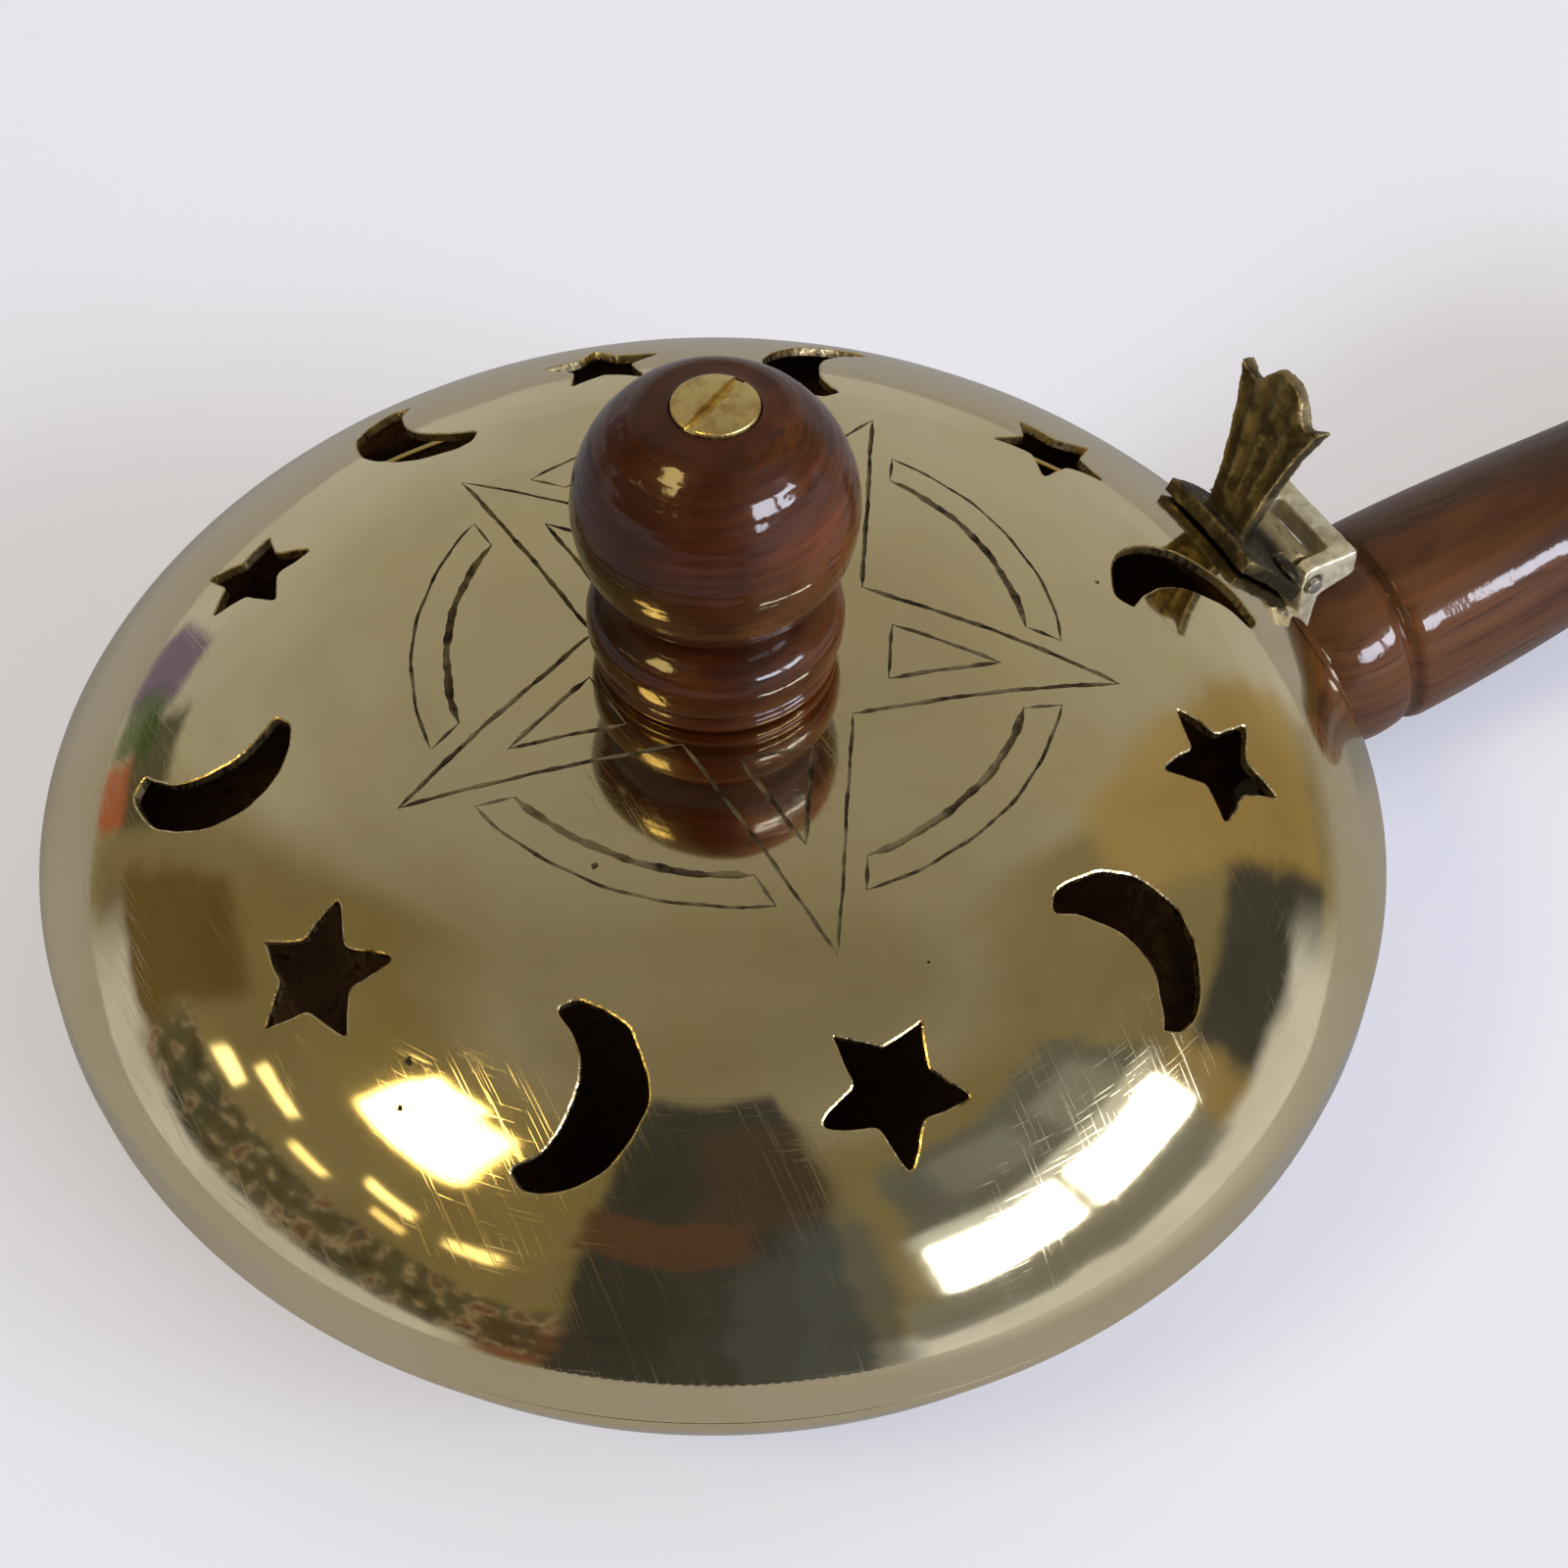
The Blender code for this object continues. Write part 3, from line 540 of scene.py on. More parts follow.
def set_corner_normals(mesh, normals, smooth):
    """Gives the corners of smooth faces their points' normals, and all others their face's own."""
    flat = np.zeros(len(mesh.polygons) * 3, np.float32)
    mesh.polygons.foreach_get("normal", flat)
    corners = np.zeros(len(mesh.loops), np.int32)
    mesh.loops.foreach_get("vertex_index", corners)
    owner = np.repeat(np.arange(len(mesh.polygons)), [p.loop_total for p in mesh.polygons])
    result = np.where(smooth[owner][:, None], normals[corners], flat.reshape(-1, 3)[owner])
    mesh.normals_split_custom_set([tuple(n) for n in result.astype(float)])


def build_lid():
    plan, faces, kinds, loops, grooves = lid_plan()
    middle = plan[faces].mean(1)
    keep, on_bevel = cut_holes(middle, loops)
    faces, middle, on_bevel = faces[keep], middle[keep], on_bevel[keep]
    s, phi = np.hypot(plan[:, 0], plan[:, 1]), np.arctan2(plan[:, 1], plan[:, 0])
    base, normal = lid_base(s, phi), lid_normal(s, phi)
    height = np.zeros(len(plan))
    close = s < s_of_radius(ENGRAVED_REACH)
    height[close] = -near_segments(plan[close], grooves)[0]
    height[kinds == "edge"] = -CUT_EDGE_DEPTH
    height[kinds == "pit"] = -PIT_DEPTH
    across = np.full(len(faces), 9.0)
    close = np.hypot(middle[:, 0], middle[:, 1]) < s_of_radius(ENGRAVED_REACH)
    across[close] = near_segments(middle[close], grooves)[1]
    engraved = (across < 0.92) | (kinds[faces] == "pit").any(1)
    outer = base + normal * height[:, None]
    inner = base - normal * (LID_WALL / MM)
    inner[:, 2] = np.maximum(inner[:, 2], LID_BOTTOM / MM)
    points = np.concatenate([outer, inner]) * MM
    a, b, c = (points[faces[:, k]] for k in range(3))
    turned = (np.cross(b - a, c - a) * normal[faces[:, 0]]).sum(1) < 0
    faces[turned] = faces[turned][:, ::-1]
    count = len(plan)
    border = border_edges(faces)
    all_faces = [tuple(map(int, f)) for f in faces]
    all_faces += [tuple(int(i) + count for i in f[::-1]) for f in faces]
    all_faces += [(int(q), int(p), int(p) + count, int(q) + count) for p, q in border]
    # Material numbers: 0 polished, 1 groove, 2 inside, 3 cut edge
    slots = np.concatenate([
        np.where(engraved, 1, np.where(on_bevel, 3, 0)),
        np.full(len(faces), 2),
        np.where(s[border[:, 1]] > S_END - 0.5, 0, 3),
    ])
    mesh = bpy.data.meshes.new("lid_shell")
    mesh.from_pydata([tuple(p) for p in points], [], all_faces)
    mesh.validate()
    if len(mesh.polygons) != len(all_faces):
        raise RuntimeError("the lid's mesh has a double or empty face")
    mesh.polygons.foreach_set("material_index", slots.astype(np.int32))
    mesh.polygons.foreach_set("use_smooth", np.ones(len(all_faces), bool))
    mesh.update()
    is_outer = np.arange(len(all_faces)) < len(faces)
    set_corner_normals(mesh, np.concatenate([normal, -normal]), (slots == 0) & is_outer | (slots == 2))
    return link("lid_shell", mesh, "lid_group", "polished_brass", "lid")


# ---- bowl

BOWL_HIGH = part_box("bowl")[1]
RIM_RADIUS, BOWL_HEIGHT = BOWL_HIGH.y, BOWL_HIGH.z
BOWL_RADIUS, BOWL_FLAT, BOWL_WALL, RIM_DEPTH = 0.0716, 0.030, 0.0012, 0.002


def bowl_line(offset, steps=48):
    wide, tall = BOWL_RADIUS - BOWL_FLAT + offset, BOWL_HEIGHT - RIM_DEPTH + offset
    angles = [i / steps * math.pi / 2 for i in range(steps + 1)]
    return [
        (BOWL_FLAT + wide * math.sin(a), BOWL_HEIGHT - RIM_DEPTH - tall * math.cos(a)) for a in angles
    ]


def build_bowl():
    outer = [(0, 0.0004), (0.012, 0.0003), (0.024, 0.0001), (0.0285, 0.0)] + bowl_line(0.0)
    top, lip, edge = BOWL_HEIGHT, 0.0005, 0.0004
    rim = []
    for middle, start in ((top - RIM_DEPTH + lip, -math.pi / 2), (top - lip, 0)):
        for i in range(7):
            a = math.pi / 2 * i / 6 + start
            rim.append((RIM_RADIUS - lip + lip * math.cos(a), middle + lip * math.sin(a)))
    rim += [(BOWL_RADIUS - BOWL_WALL + edge, top), (BOWL_RADIUS - BOWL_WALL, top - edge)]
    inner = bowl_line(-BOWL_WALL)[::-1] + [(0.02, BOWL_WALL), (0, BOWL_WALL)]
    bm = lathe(outer + rim + inner, 256, closed=False)
    mesh = bm_to_mesh("bowl_shell", bm, 40)
    inside_line = BOWL_RADIUS - BOWL_WALL + 0.0002
    index = []
    for face in mesh.polygons:
        c = face.center
        wide = math.hypot(c.x, c.y)
        inward = face.normal.z > 0.15 or face.normal.dot(Vector((c.x, c.y, 0))) < 0
        index.append(1 if inward and wide < inside_line else 0)
    mesh.polygons.foreach_set("material_index", index)
    return link("bowl_shell", mesh, "base", "polished_brass", "bowl")


# ---- knob, screw and small turned pieces

def build_knob():
    """A ball with fine turning marks on a beaded foot, bored for the screw."""
    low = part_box("lid_knob")[0].z
    foot = [(0.0122, 0.0), (0.0127, 0.0005), (0.0126, 0.0011), (0.0121, 0.0016), (0.0122, 0.0020),
            (0.0129, 0.0026), (0.0133, 0.0036), (0.0134, 0.0050), (0.0133, 0.0062), (0.0127, 0.0075),
            (0.0115, 0.0085), (0.0103, 0.0091), (0.0096, 0.0094)]
    ball_radius, centre, recess, bore, head = 0.0146, 0.0204, 0.0046, 0.0024, 0.0023
    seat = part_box("knob_screw")[1].z - head - low
    first, last = math.asin(foot[-1][0] / ball_radius), math.asin(recess / ball_radius)
    ball = []
    for i in range(61):
        a = math.pi - first + (last - math.pi + first) * i / 60
        turned = 0.00003 * math.sin(i * 2.1) + 0.00002 * math.sin(i * 0.83 + 1)
        r = ball_radius - 0.00005 + turned
        wide = r * math.sin(a)
        near_top = min(1.0, max(0.0, (0.0082 - wide) / 0.0036)) if a < 1 else 0.0
        flat = 0.0009 * near_top * near_top * (3 - 2 * near_top)
        ball.append((wide, centre + r * math.cos(a) - flat))
    edge = min(ball[-1][1] - 0.0001, seat + 0.0012)
    top = [(recess - 0.0001, edge), (recess - 0.0002, min(seat, edge - 0.0002))]
    top += [(bore, seat), (bore - 0.0001, 0.0)]
    profile = smooth_line(foot, 5) + ball[1:] + top
    bm = lathe([(r, z + low) for r, z in profile], 160)
    mesh = bm_to_mesh("knob_turned", bm, 50)
    return link("knob_turned", mesh, "lid_group", "varnished_wood", "lid_knob")


def build_screw():
    """A slotted round-head screw."""
    low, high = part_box("knob_screw")
    radius, crown, head = 0.0044, 0.0006, 0.0022
    seat = high.z - head
    rise = high.z - crown
    arc = [i / 12 * math.pi / 2 for i in range(1, 12)]
    dome = [(radius * math.cos(a), rise + crown * math.sin(a)) for a in arc]
    edge = [(radius - 0.0001, seat), (radius, seat + 0.0001), (radius, rise)]
    shank = [(0, low.z), (0.0016, low.z), (0.0020, low.z + 0.0004), (0.0020, seat)]
    bm = lathe(shank + edge + dome + [(0, high.z)], 96, closed=False)
    blank = new_object("screw_blank", bm_to_mesh("screw_blank", bm, 30))
    cutter_bm = bmesh.new()
    bmesh.ops.create_cube(cutter_bm, size=1.0)
    turn = Matrix.Rotation(math.radians(27), 4, "Z")
    place = Matrix.Translation((0, 0, high.z + 0.0010))
    cutter_bm.transform(place @ turn @ Matrix.Diagonal((0.02, 0.0012, 0.0038, 1)))
    cutter = new_object("screw_cutter", bm_to_mesh("screw_cutter", cutter_bm, 35))
    cut = blank.modifiers.new("slot", "BOOLEAN")
    cut.operation, cut.object, cut.solver = "DIFFERENCE", cutter, "EXACT"
    bevel = blank.modifiers.new("bevel", "BEVEL")
    bevel.width, bevel.segments, bevel.limit_method = 0.00009, 2, "ANGLE"
    bevel.angle_limit = math.radians(35)
    bpy.context.view_layer.update()
    mesh = evaluated_mesh(blank, "screw_slotted")
    for obj in (blank, cutter):
        bpy.data.objects.remove(obj)
    smooth_but_for(mesh, 30)
    return link("screw_slotted", mesh, "lid_group", "polished_brass", "knob_screw")


def principal_axis(name):
    """Centre, long axis and half length of a slim CAD node."""
    mesh = NODES[name].data
    co = np.array([v.co for v in mesh.vertices])
    centre = co.mean(0)
    _, _, axes = np.linalg.svd(co - centre, full_matrices=False)
    reach = (co - centre) @ axes[0]
    middle = centre + axes[0] * (reach.max() + reach.min()) / 2
    return Vector(middle), Vector(axes[0]), (reach.max() - reach.min()) / 2


def build_pin():
    """The hinge pin, with softened ends."""
    centre, axis, half = principal_axis("hinge_pin")
    r, e = 0.0010, 0.00022
    profile = [(0, -half), (r - e, -half), (r - 0.3 * e, -half + 0.3 * e), (r, -half + e), (r, half - e),
               (r - 0.3 * e, half - 0.3 * e), (r - e, half), (0, half)]
    mesh = bm_to_mesh("hinge_rod", lathe(profile, 48, along(centre, axis), closed=False), 50)
    return link("hinge_rod", mesh, "base", "dull_steel", "hinge_pin")


def build_rivet(name, node, body):
    """A hand-set rivet: low, slightly uneven domes on a shank."""
    centre, axis, half = principal_axis(node)
    outward = Vector((centre.x, centre.y, 0.02 if body == "base" else 0.06))
    if axis.dot(outward) < 0:
        axis = -axis
    head, rise, shank = 0.0021, 0.0010, 0.0011
    arc = [i / 10 * math.pi / 2 for i in range(11)]
    high = [(head * math.cos(a), half - rise + rise * math.sin(a)) for a in arc]
    low = [(r, -z) for r, z in high][::-1]
    high[-1], low[0] = (0, half), (0, -half)
    bm = lathe(low + [(shank, -half + rise), (shank, half - rise)] + high, 48, closed=False)
    for v in bm.verts:
        dent = noise.noise(v.co * 900 + Vector((half * 9e3, 0, 0))) * 0.00009
        v.co *= 1 - abs(dent) / head
    bm.transform(along(centre, axis))
    mesh = bm_to_mesh(name, bm, 40)
    return link(name, mesh, body, "cast_brass", node)


def build_nail():
    centre, axis, half = principal_axis("handle_nail")
    if axis.z < 0:
        axis = -axis
    r, head, rise = 0.0009, 0.0015, 0.0011
    arc = [i / 8 * math.pi / 2 for i in range(9)]
    dome = [(head - 0.0003 + 0.0003 * math.cos(a), half - 0.0004 + 0.0004 * math.sin(a)) for a in arc]
    profile = [(0, -half), (r, -half + 0.0007), (r, half - rise), (head, half - rise)] + dome
    profile += [(0.0006, half + 0.00004), (0, half + 0.00002)]
    profile = [(a, min(b, half)) for a, b in profile]
    mesh = bm_to_mesh("nail_turned", lathe(profile, 40, along(centre, axis), closed=False), 40)
    return link("nail_turned", mesh, "base", "dull_steel", "handle_nail")


# ---- handle

HANDLE_TILT = math.radians(6.5)
HANDLE_DIRECTION = Vector((math.cos(HANDLE_TILT), 0, math.sin(HANDLE_TILT)))
HANDLE_ORIGIN = Vector((0.0758, 0, 0.0147))
HANDLE_FACE, HANDLE_GROOVE, HANDLE_LENGTH = 0.0046, 0.0163, 0.1350
WAIST_SHARE = 0.62


def build_handle():
    """A bead at the bowl, a groove, then a shaft with a waist and a rounded end."""
    face, groove = HANDLE_FACE, HANDLE_GROOVE
    bead = [(0.0099, face), (0.0108, face + 0.0003), (0.0118, face + 0.0014), (0.0126, face + 0.0040),
            (0.0130, face + 0.0070), (0.0129, groove - 0.0022), (0.0126, groove - 0.0009),
            (0.0120, groove - 0.0002), (0.0119, groove + 0.0001), (0.0122, groove + 0.0006),
            (0.0129, groove + 0.0013), (0.0132, groove + 0.0024)]
    shaft = []
    start, narrow, wide = 0.0132, 0.0108, 0.0122
    for i in range(1, 41):
        share = i / 40
        distance = groove + 0.0035 + (HANDLE_LENGTH - 0.030 - groove) * share
        waist = 0.5 - 0.5 * math.cos(math.pi * min(1.0, share / WAIST_SHARE))
        swell = 0.5 - 0.5 * math.cos(math.pi * max(0.0, (share - WAIST_SHARE) / (1 - WAIST_SHARE)))
        shaft.append((start + (narrow - start) * waist + (wide - narrow) * swell, distance))
    tip_start = shaft[-1][1]
    reach = HANDLE_LENGTH - tip_start
    tip = []
    for i in range(1, 25):
        a = i / 24 * math.pi / 2
        tip.append((wide * math.cos(a) if i < 24 else 0.0, tip_start + reach * math.sin(a)))
    line = smooth_line(bead, 6) + smooth_line(shaft, 4) + tip
    profile = [(0, face), (0.0040, face)] + line
    matrix = along(HANDLE_ORIGIN, HANDLE_DIRECTION)
    mesh = bm_to_mesh("handle_turned", lathe(profile, 128, matrix, closed=False), 50)
    return link("handle_turned", mesh, "base", "varnished_wood", "handle")


# ---- castings

def remeshed(node, voxel):
    """A fine, slightly softened copy of a CAD node's shape."""
    copy = new_object("casting_copy", NODES[node].data.copy())
    weld = copy.modifiers.new("weld", "WELD")
    weld.merge_threshold = 1e-6
    remesh = copy.modifiers.new("remesh", "REMESH")
    remesh.mode, remesh.voxel_size, remesh.adaptivity = "VOXEL", voxel, 0.0
    smooth = copy.modifiers.new("smooth", "SMOOTH")
    smooth.factor, smooth.iterations = 0.5, 3
    bpy.context.view_layer.update()
    mesh = evaluated_mesh(copy, node + "_cast")
    bpy.data.objects.remove(copy)
    mesh.materials.clear()
    return mesh


def roughen(mesh, amount, extra=None):
    """Moves each point along its normal by a sand casting's lumps, grain and pits, and by an extra shape."""
    co = [v.co.copy() for v in mesh.vertices]
    normals = [v.normal.copy() for v in mesh.vertices]
    for i, (p, n) in enumerate(zip(co, normals)):
        lumps = noise.fractal(p * 260, 1.0, 2.0, 3)
        grain = noise.fractal(p * 1300, 0.8, 2.0, 3)
        pits = max(0.0, noise.noise(p * 620 + Vector((7, 3, 1))) - 0.28)
        shift = amount * (0.75 * lumps + 0.35 * grain - 1.5 * pits)
        if extra:
            shift += extra(p, n)
        mesh.vertices[i].co = p + n * shift
    mesh.update()
    mesh.shade_smooth()


# The lever's fan. Beyond HINGE_CLEAR_X its casting is drawn in a little, so that it clears the bracket.
FAN_FOOT = Vector((0.0670, 0, 0.0451))
FAN_LEAN = math.radians(16.5)
FAN_UP = Vector((math.sin(FAN_LEAN), 0, math.cos(FAN_LEAN)))
HINGE_CLEAR_X, HINGE_CLEARANCE = 0.0735, 0.00022


def fan_flutes(p, n):
    """Flutes that spread from the fan's foot to its lobes, with a ragged top."""
    local = p - FAN_FOOT
    if p.x > HINGE_CLEAR_X:
        return -HINGE_CLEARANCE
    up = local.dot(FAN_UP)
    if up < 0.0035 or abs(local.y) > 0.009:
        return 0.0
    half = 0.0034 + 0.0040 * min(1.0, max(0.0, (up - 0.003) / 0.0173)) ** 1.3
    across = local.y / half
    strength = min(1.0, (up - 0.0035) / 0.004)
    face = abs(n.dot(Vector((math.cos(FAN_LEAN), 0, -math.sin(FAN_LEAN)))))
    flute = -0.5 + 0.5 * math.cos(across * math.pi * 4.2)
    ragged = noise.noise(Vector((across * 3.1, 5, 0))) * (1 - face) * min(1.0, max(0.0, up - 0.016) / 0.003)
    return strength * face * 0.00042 * flute + 0.0006 * ragged


def build_castings():
    lever = remeshed("thumb_lever", 0.00026)
    roughen(lever, 0.00016, fan_flutes)
    lever_obj = link("lever_cast", lever, "lid_group", "cast_brass", "thumb_lever")
    bracket = remeshed("hinge_bracket", 0.00030)
    roughen(bracket, 0.00011)
    return lever_obj, link("bracket_cast", bracket, "base", "cast_brass", "hinge_bracket")


# ---- node helpers

class Graph:
    """Builds node trees from small expressions."""

    def __init__(self, tree):
        self.tree = tree

    def node(self, kind, **settings):
        made = self.tree.nodes.new(kind)
        for name, value in settings.items():
            setattr(made, name, value)
        return made

    def put(self, socket, value):
        """Links an output to a socket, or sets the socket's own value."""
        if isinstance(value, bpy.types.NodeSocket):
            self.tree.links.new(value, socket)
        elif isinstance(value, (tuple, list)) and len(value) == 3 and socket.type == "RGBA":
            socket.default_value = (*value, 1.0)
        else:
            socket.default_value = value

    def fill(self, made, **values):
        """Puts values into a node's sockets by name, where an underscore stands for a space."""
        for name, value in values.items():
            self.put(made.inputs[name.replace("_", " ")], value)
        return made

    def split(self, vector):
        return self.fill(self.node("ShaderNodeSeparateXYZ"), Vector=vector).outputs

    def math(self, operation, a, b=0.0, c=0.0):
        made = self.node("ShaderNodeMath", operation=operation)
        for socket, value in zip(made.inputs, (a, b, c)):
            self.put(socket, value)
        return made.outputs[0]

    def add(self, a, b):
        return self.math("ADD", a, b)

    def mul(self, a, b):
        return self.math("MULTIPLY", a, b)

    def smooth(self, value, low, high, to_low=0.0, to_high=1.0):
        """Goes from to_low to to_high as the value goes from low to high."""
        made = self.node("ShaderNodeMapRange", interpolation_type="SMOOTHSTEP")
        self.fill(made, Value=value, From_Min=low, From_Max=high, To_Min=to_low, To_Max=to_high)
        return made.outputs["Result"]

    def mix(self, factor, a, b, blend="MIX"):
        made = self.node("ShaderNodeMix", data_type="RGBA", blend_type=blend)
        self.put(made.inputs[0], factor)
        self.put(made.inputs[6], a)
        self.put(made.inputs[7], b)
        return made.outputs[2]

    def place(self):
        return self.node("ShaderNodeTexCoord").outputs["Object"]

    def mapping(self, vector, scale=(1, 1, 1), rotation=(0, 0, 0), location=(0, 0, 0)):
        made = self.node("ShaderNodeMapping")
        return self.fill(made, Vector=vector, Scale=scale, Rotation=rotation, Location=location).outputs[0]

    def noise(self, vector, scale, detail=3.0, rough=0.5, distortion=0.0):
        made = self.node("ShaderNodeTexNoise")
        self.fill(made, Vector=vector, Scale=scale, Detail=detail, Roughness=rough, Distortion=distortion)
        return made.outputs["Fac"]

    def ramp(self, value, stops):
        made = self.node("ShaderNodeValToRGB")
        self.put(made.inputs[0], value)
        elements = made.color_ramp.elements
        while len(elements) < len(stops):
            elements.new(0.5)
        for element, (at, color) in zip(elements, stops):
            element.position = at
            element.color = (*color, 1.0)
        return made.outputs[0]

    def bump(self, height, strength, distance, normal=None):
        made = self.fill(self.node("ShaderNodeBump"), Strength=strength, Distance=distance, Height=height)
        if normal is not None:
            self.put(made.inputs["Normal"], normal)
        return made.outputs[0]


def new_material(name):
    """A material, its graph, its shader, and the place on the object."""
    made = bpy.data.materials.new(name)
    made.use_nodes = True
    g = Graph(made.node_tree)
    return made, g, made.node_tree.nodes["Principled BSDF"], g.place()


def scratch_field(g, place, turn, stretch, scale, cut):
    """Fine straight scratches along one direction, 1 in a scratch and 0 beside it."""
    turned = g.mapping(place, rotation=turn, scale=(scale, scale / stretch, scale / stretch))
    lines = g.noise(turned, 1.0, 2.0, 0.6, 0.15)
    return g.smooth(lines, cut, cut + 0.05)


# ---- materials

def polished_brass():
    """Bright brass with faint tarnish, stains, and scratches both around its axis and across it."""
    made, g, shader, place = new_material("polished_brass")
    color = (0.87, 0.77, 0.50)
    broad = g.noise(place, 38, 4, 0.55)
    fine = g.noise(place, 900, 3, 0.6)
    tone = g.mix(g.smooth(broad, 0.35, 0.68), color, tuple(c * f for c, f in zip(color, (0.96, 0.93, 0.84))))
    stains = g.smooth(g.noise(place, 120, 5, 0.7, 1.2), 0.62, 0.78)
    tone = g.mix(g.mul(stains, 0.22), tone, (0.60, 0.47, 0.22))
    x, y, _ = g.split(place)
    radius = g.math("SQRT", g.add(g.mul(x, x), g.mul(y, y)))
    turn = g.math("ARCTAN2", y, x)
    ring = g.fill(g.node("ShaderNodeCombineXYZ"), X=g.mul(radius, 5200), Y=g.mul(turn, 7.0))
    scratches = g.smooth(g.noise(ring.outputs[0], 1.0, 3, 0.6, 0.3), 0.60, 0.68)
    for turn, stretch, scale, cut in (
        ((0, 0, 0.6), 70, 4600, 0.63), ((0, 0, -0.75), 110, 4000, 0.65), ((0.2, 0, 1.9), 80, 5200, 0.66),
    ):
        scratches = g.math("MAXIMUM", scratches, scratch_field(g, place, turn, stretch, scale, cut))
    patch = g.smooth(g.noise(place, 60, 2, 0.5), 0.36, 0.62)
    scratches = g.mul(scratches, patch)
    roughness = g.add(g.add(0.045, g.mul(fine, 0.03)), g.mul(scratches, 0.12))
    roughness = g.add(roughness, g.mul(stains, 0.10))
    height = g.add(g.mul(fine, 0.12), g.mul(scratches, -0.35))
    g.fill(shader, Base_Color=tone, Metallic=1.0, Roughness=roughness, Normal=g.bump(height, 0.10, 0.00004))
    return made


def groove_brass():
    """Dull dark residue in the engraving, worn through to brass in places."""
    made, g, shader, place = new_material("groove_residue")
    dirt = g.noise(place, 700, 4, 0.65)
    worn = g.smooth(g.noise(place, 210, 3, 0.6), 0.40, 0.62)
    tone = g.mix(g.smooth(dirt, 0.38, 0.62), (0.017, 0.013, 0.009), (0.050, 0.037, 0.021))
    tone = g.mix(g.mul(worn, 0.42), tone, (0.22, 0.175, 0.095))
    roughness, relief = g.smooth(dirt, 0.3, 0.7, 0.65, 0.85), g.bump(dirt, 0.5, 0.0002)
    g.fill(shader, Base_Color=tone, Roughness=roughness, Specular_IOR_Level=0.0, Normal=relief)
    return made


def inner_patina():
    """Brass browned by smoke."""
    made, g, shader, place = new_material("inner_patina")
    smoke = g.noise(place, 70, 5, 0.6, 0.4)
    specks = g.noise(place, 800, 3, 0.6)
    browns = ((0.30, (0.085, 0.048, 0.027)), (0.50, (0.22, 0.115, 0.055)), (0.72, (0.42, 0.25, 0.115)))
    tone = g.ramp(smoke, browns)
    tone = g.mix(g.smooth(specks, 0.55, 0.75), tone, (0.05, 0.03, 0.015))
    roughness = g.smooth(smoke, 0.3, 0.7, 0.40, 0.20)
    g.fill(shader, Base_Color=tone, Metallic=0.85, Roughness=roughness, Normal=g.bump(specks, 0.3, 0.0002))
    return made


def cut_edge_brass():
    """Sawn and filed brass, stained here and there."""
    made, g, shader, place = new_material("cut_edge")
    saw = g.noise(g.mapping(place, scale=(1, 1, 0.25)), 1500, 3, 0.6)
    stain = g.noise(place, 260, 3, 0.6)
    tone = g.mix(g.smooth(saw, 0.35, 0.65), (0.85, 0.72, 0.42), (0.62, 0.48, 0.22))
    tone = g.mix(g.smooth(stain, 0.52, 0.70), tone, (0.16, 0.10, 0.045))
    roughness = g.smooth(saw, 0.3, 0.7, 0.18, 0.42)
    g.fill(shader, Base_Color=tone, Metallic=1.0, Roughness=roughness, Normal=g.bump(saw, 0.5, 0.00025))
    return made


def cast_brass(name, dark, light, bright, metallic=0.75, painted_shade_below=None):
    """Rough casting with a patina worn bright on its edges. Given a height, painted shade darkens it below
    that height and painted light brightens its end at the hinge.
    """
    made, g, shader, place = new_material(name)
    broad = g.noise(place, 330, 5, 0.62, 0.3)
    grain = g.noise(place, 2600, 4, 0.7)
    pits = g.fill(g.node("ShaderNodeTexVoronoi"), Vector=place, Scale=1500)
    edge = g.node("ShaderNodeNewGeometry").outputs["Pointiness"]
    worn = g.smooth(g.add(edge, g.mul(g.add(broad, -0.5), 0.10)), 0.50, 0.58)
    tone = g.mix(g.smooth(broad, 0.36, 0.66), dark, light)
    tone = g.mix(g.mul(worn, 0.75), tone, bright)
    if painted_shade_below:
        # Painted shade: below the given height the casting is darkened towards a third of its dark tone
        x, _, z = g.split(place)
        height = g.add(z, g.mul(g.add(broad, -0.5), 0.004))
        painted_shade = g.smooth(height, painted_shade_below, painted_shade_below + 0.0045, 0.86, 0.0)
        # Painted light: towards the hinge the casting is mixed towards its bright tone, lightening it where
        # it sits in the bracket's shade
        painted_light_at_hinge = g.smooth(x, FAN_FOOT.x + 0.0050, FAN_FOOT.x + 0.0080)
        tone = g.mix(painted_shade, tone, tuple(0.3 * c for c in dark))
        tone = g.mix(g.mul(painted_light_at_hinge, 0.7), tone, bright)
    metal = g.smooth(worn, 0.0, 1.0, metallic, 1.0)
    roughness = g.add(g.smooth(worn, 0, 1, 0.52, 0.26), g.mul(grain, 0.12))
    height = g.add(g.mul(grain, 0.7), g.mul(pits.outputs["Distance"], 0.5))
    g.fill(shader, Base_Color=tone, Metallic=metal, Roughness=roughness, Normal=g.bump(height, 0.45, 0.00022))
    return made


WOOD_TONES = (
    (0.34, (0.018, 0.0060, 0.0030)), (0.45, (0.054, 0.0150, 0.0052)),
    (0.55, (0.130, 0.036, 0.0092)), (0.68, (0.260, 0.080, 0.0175)),
)


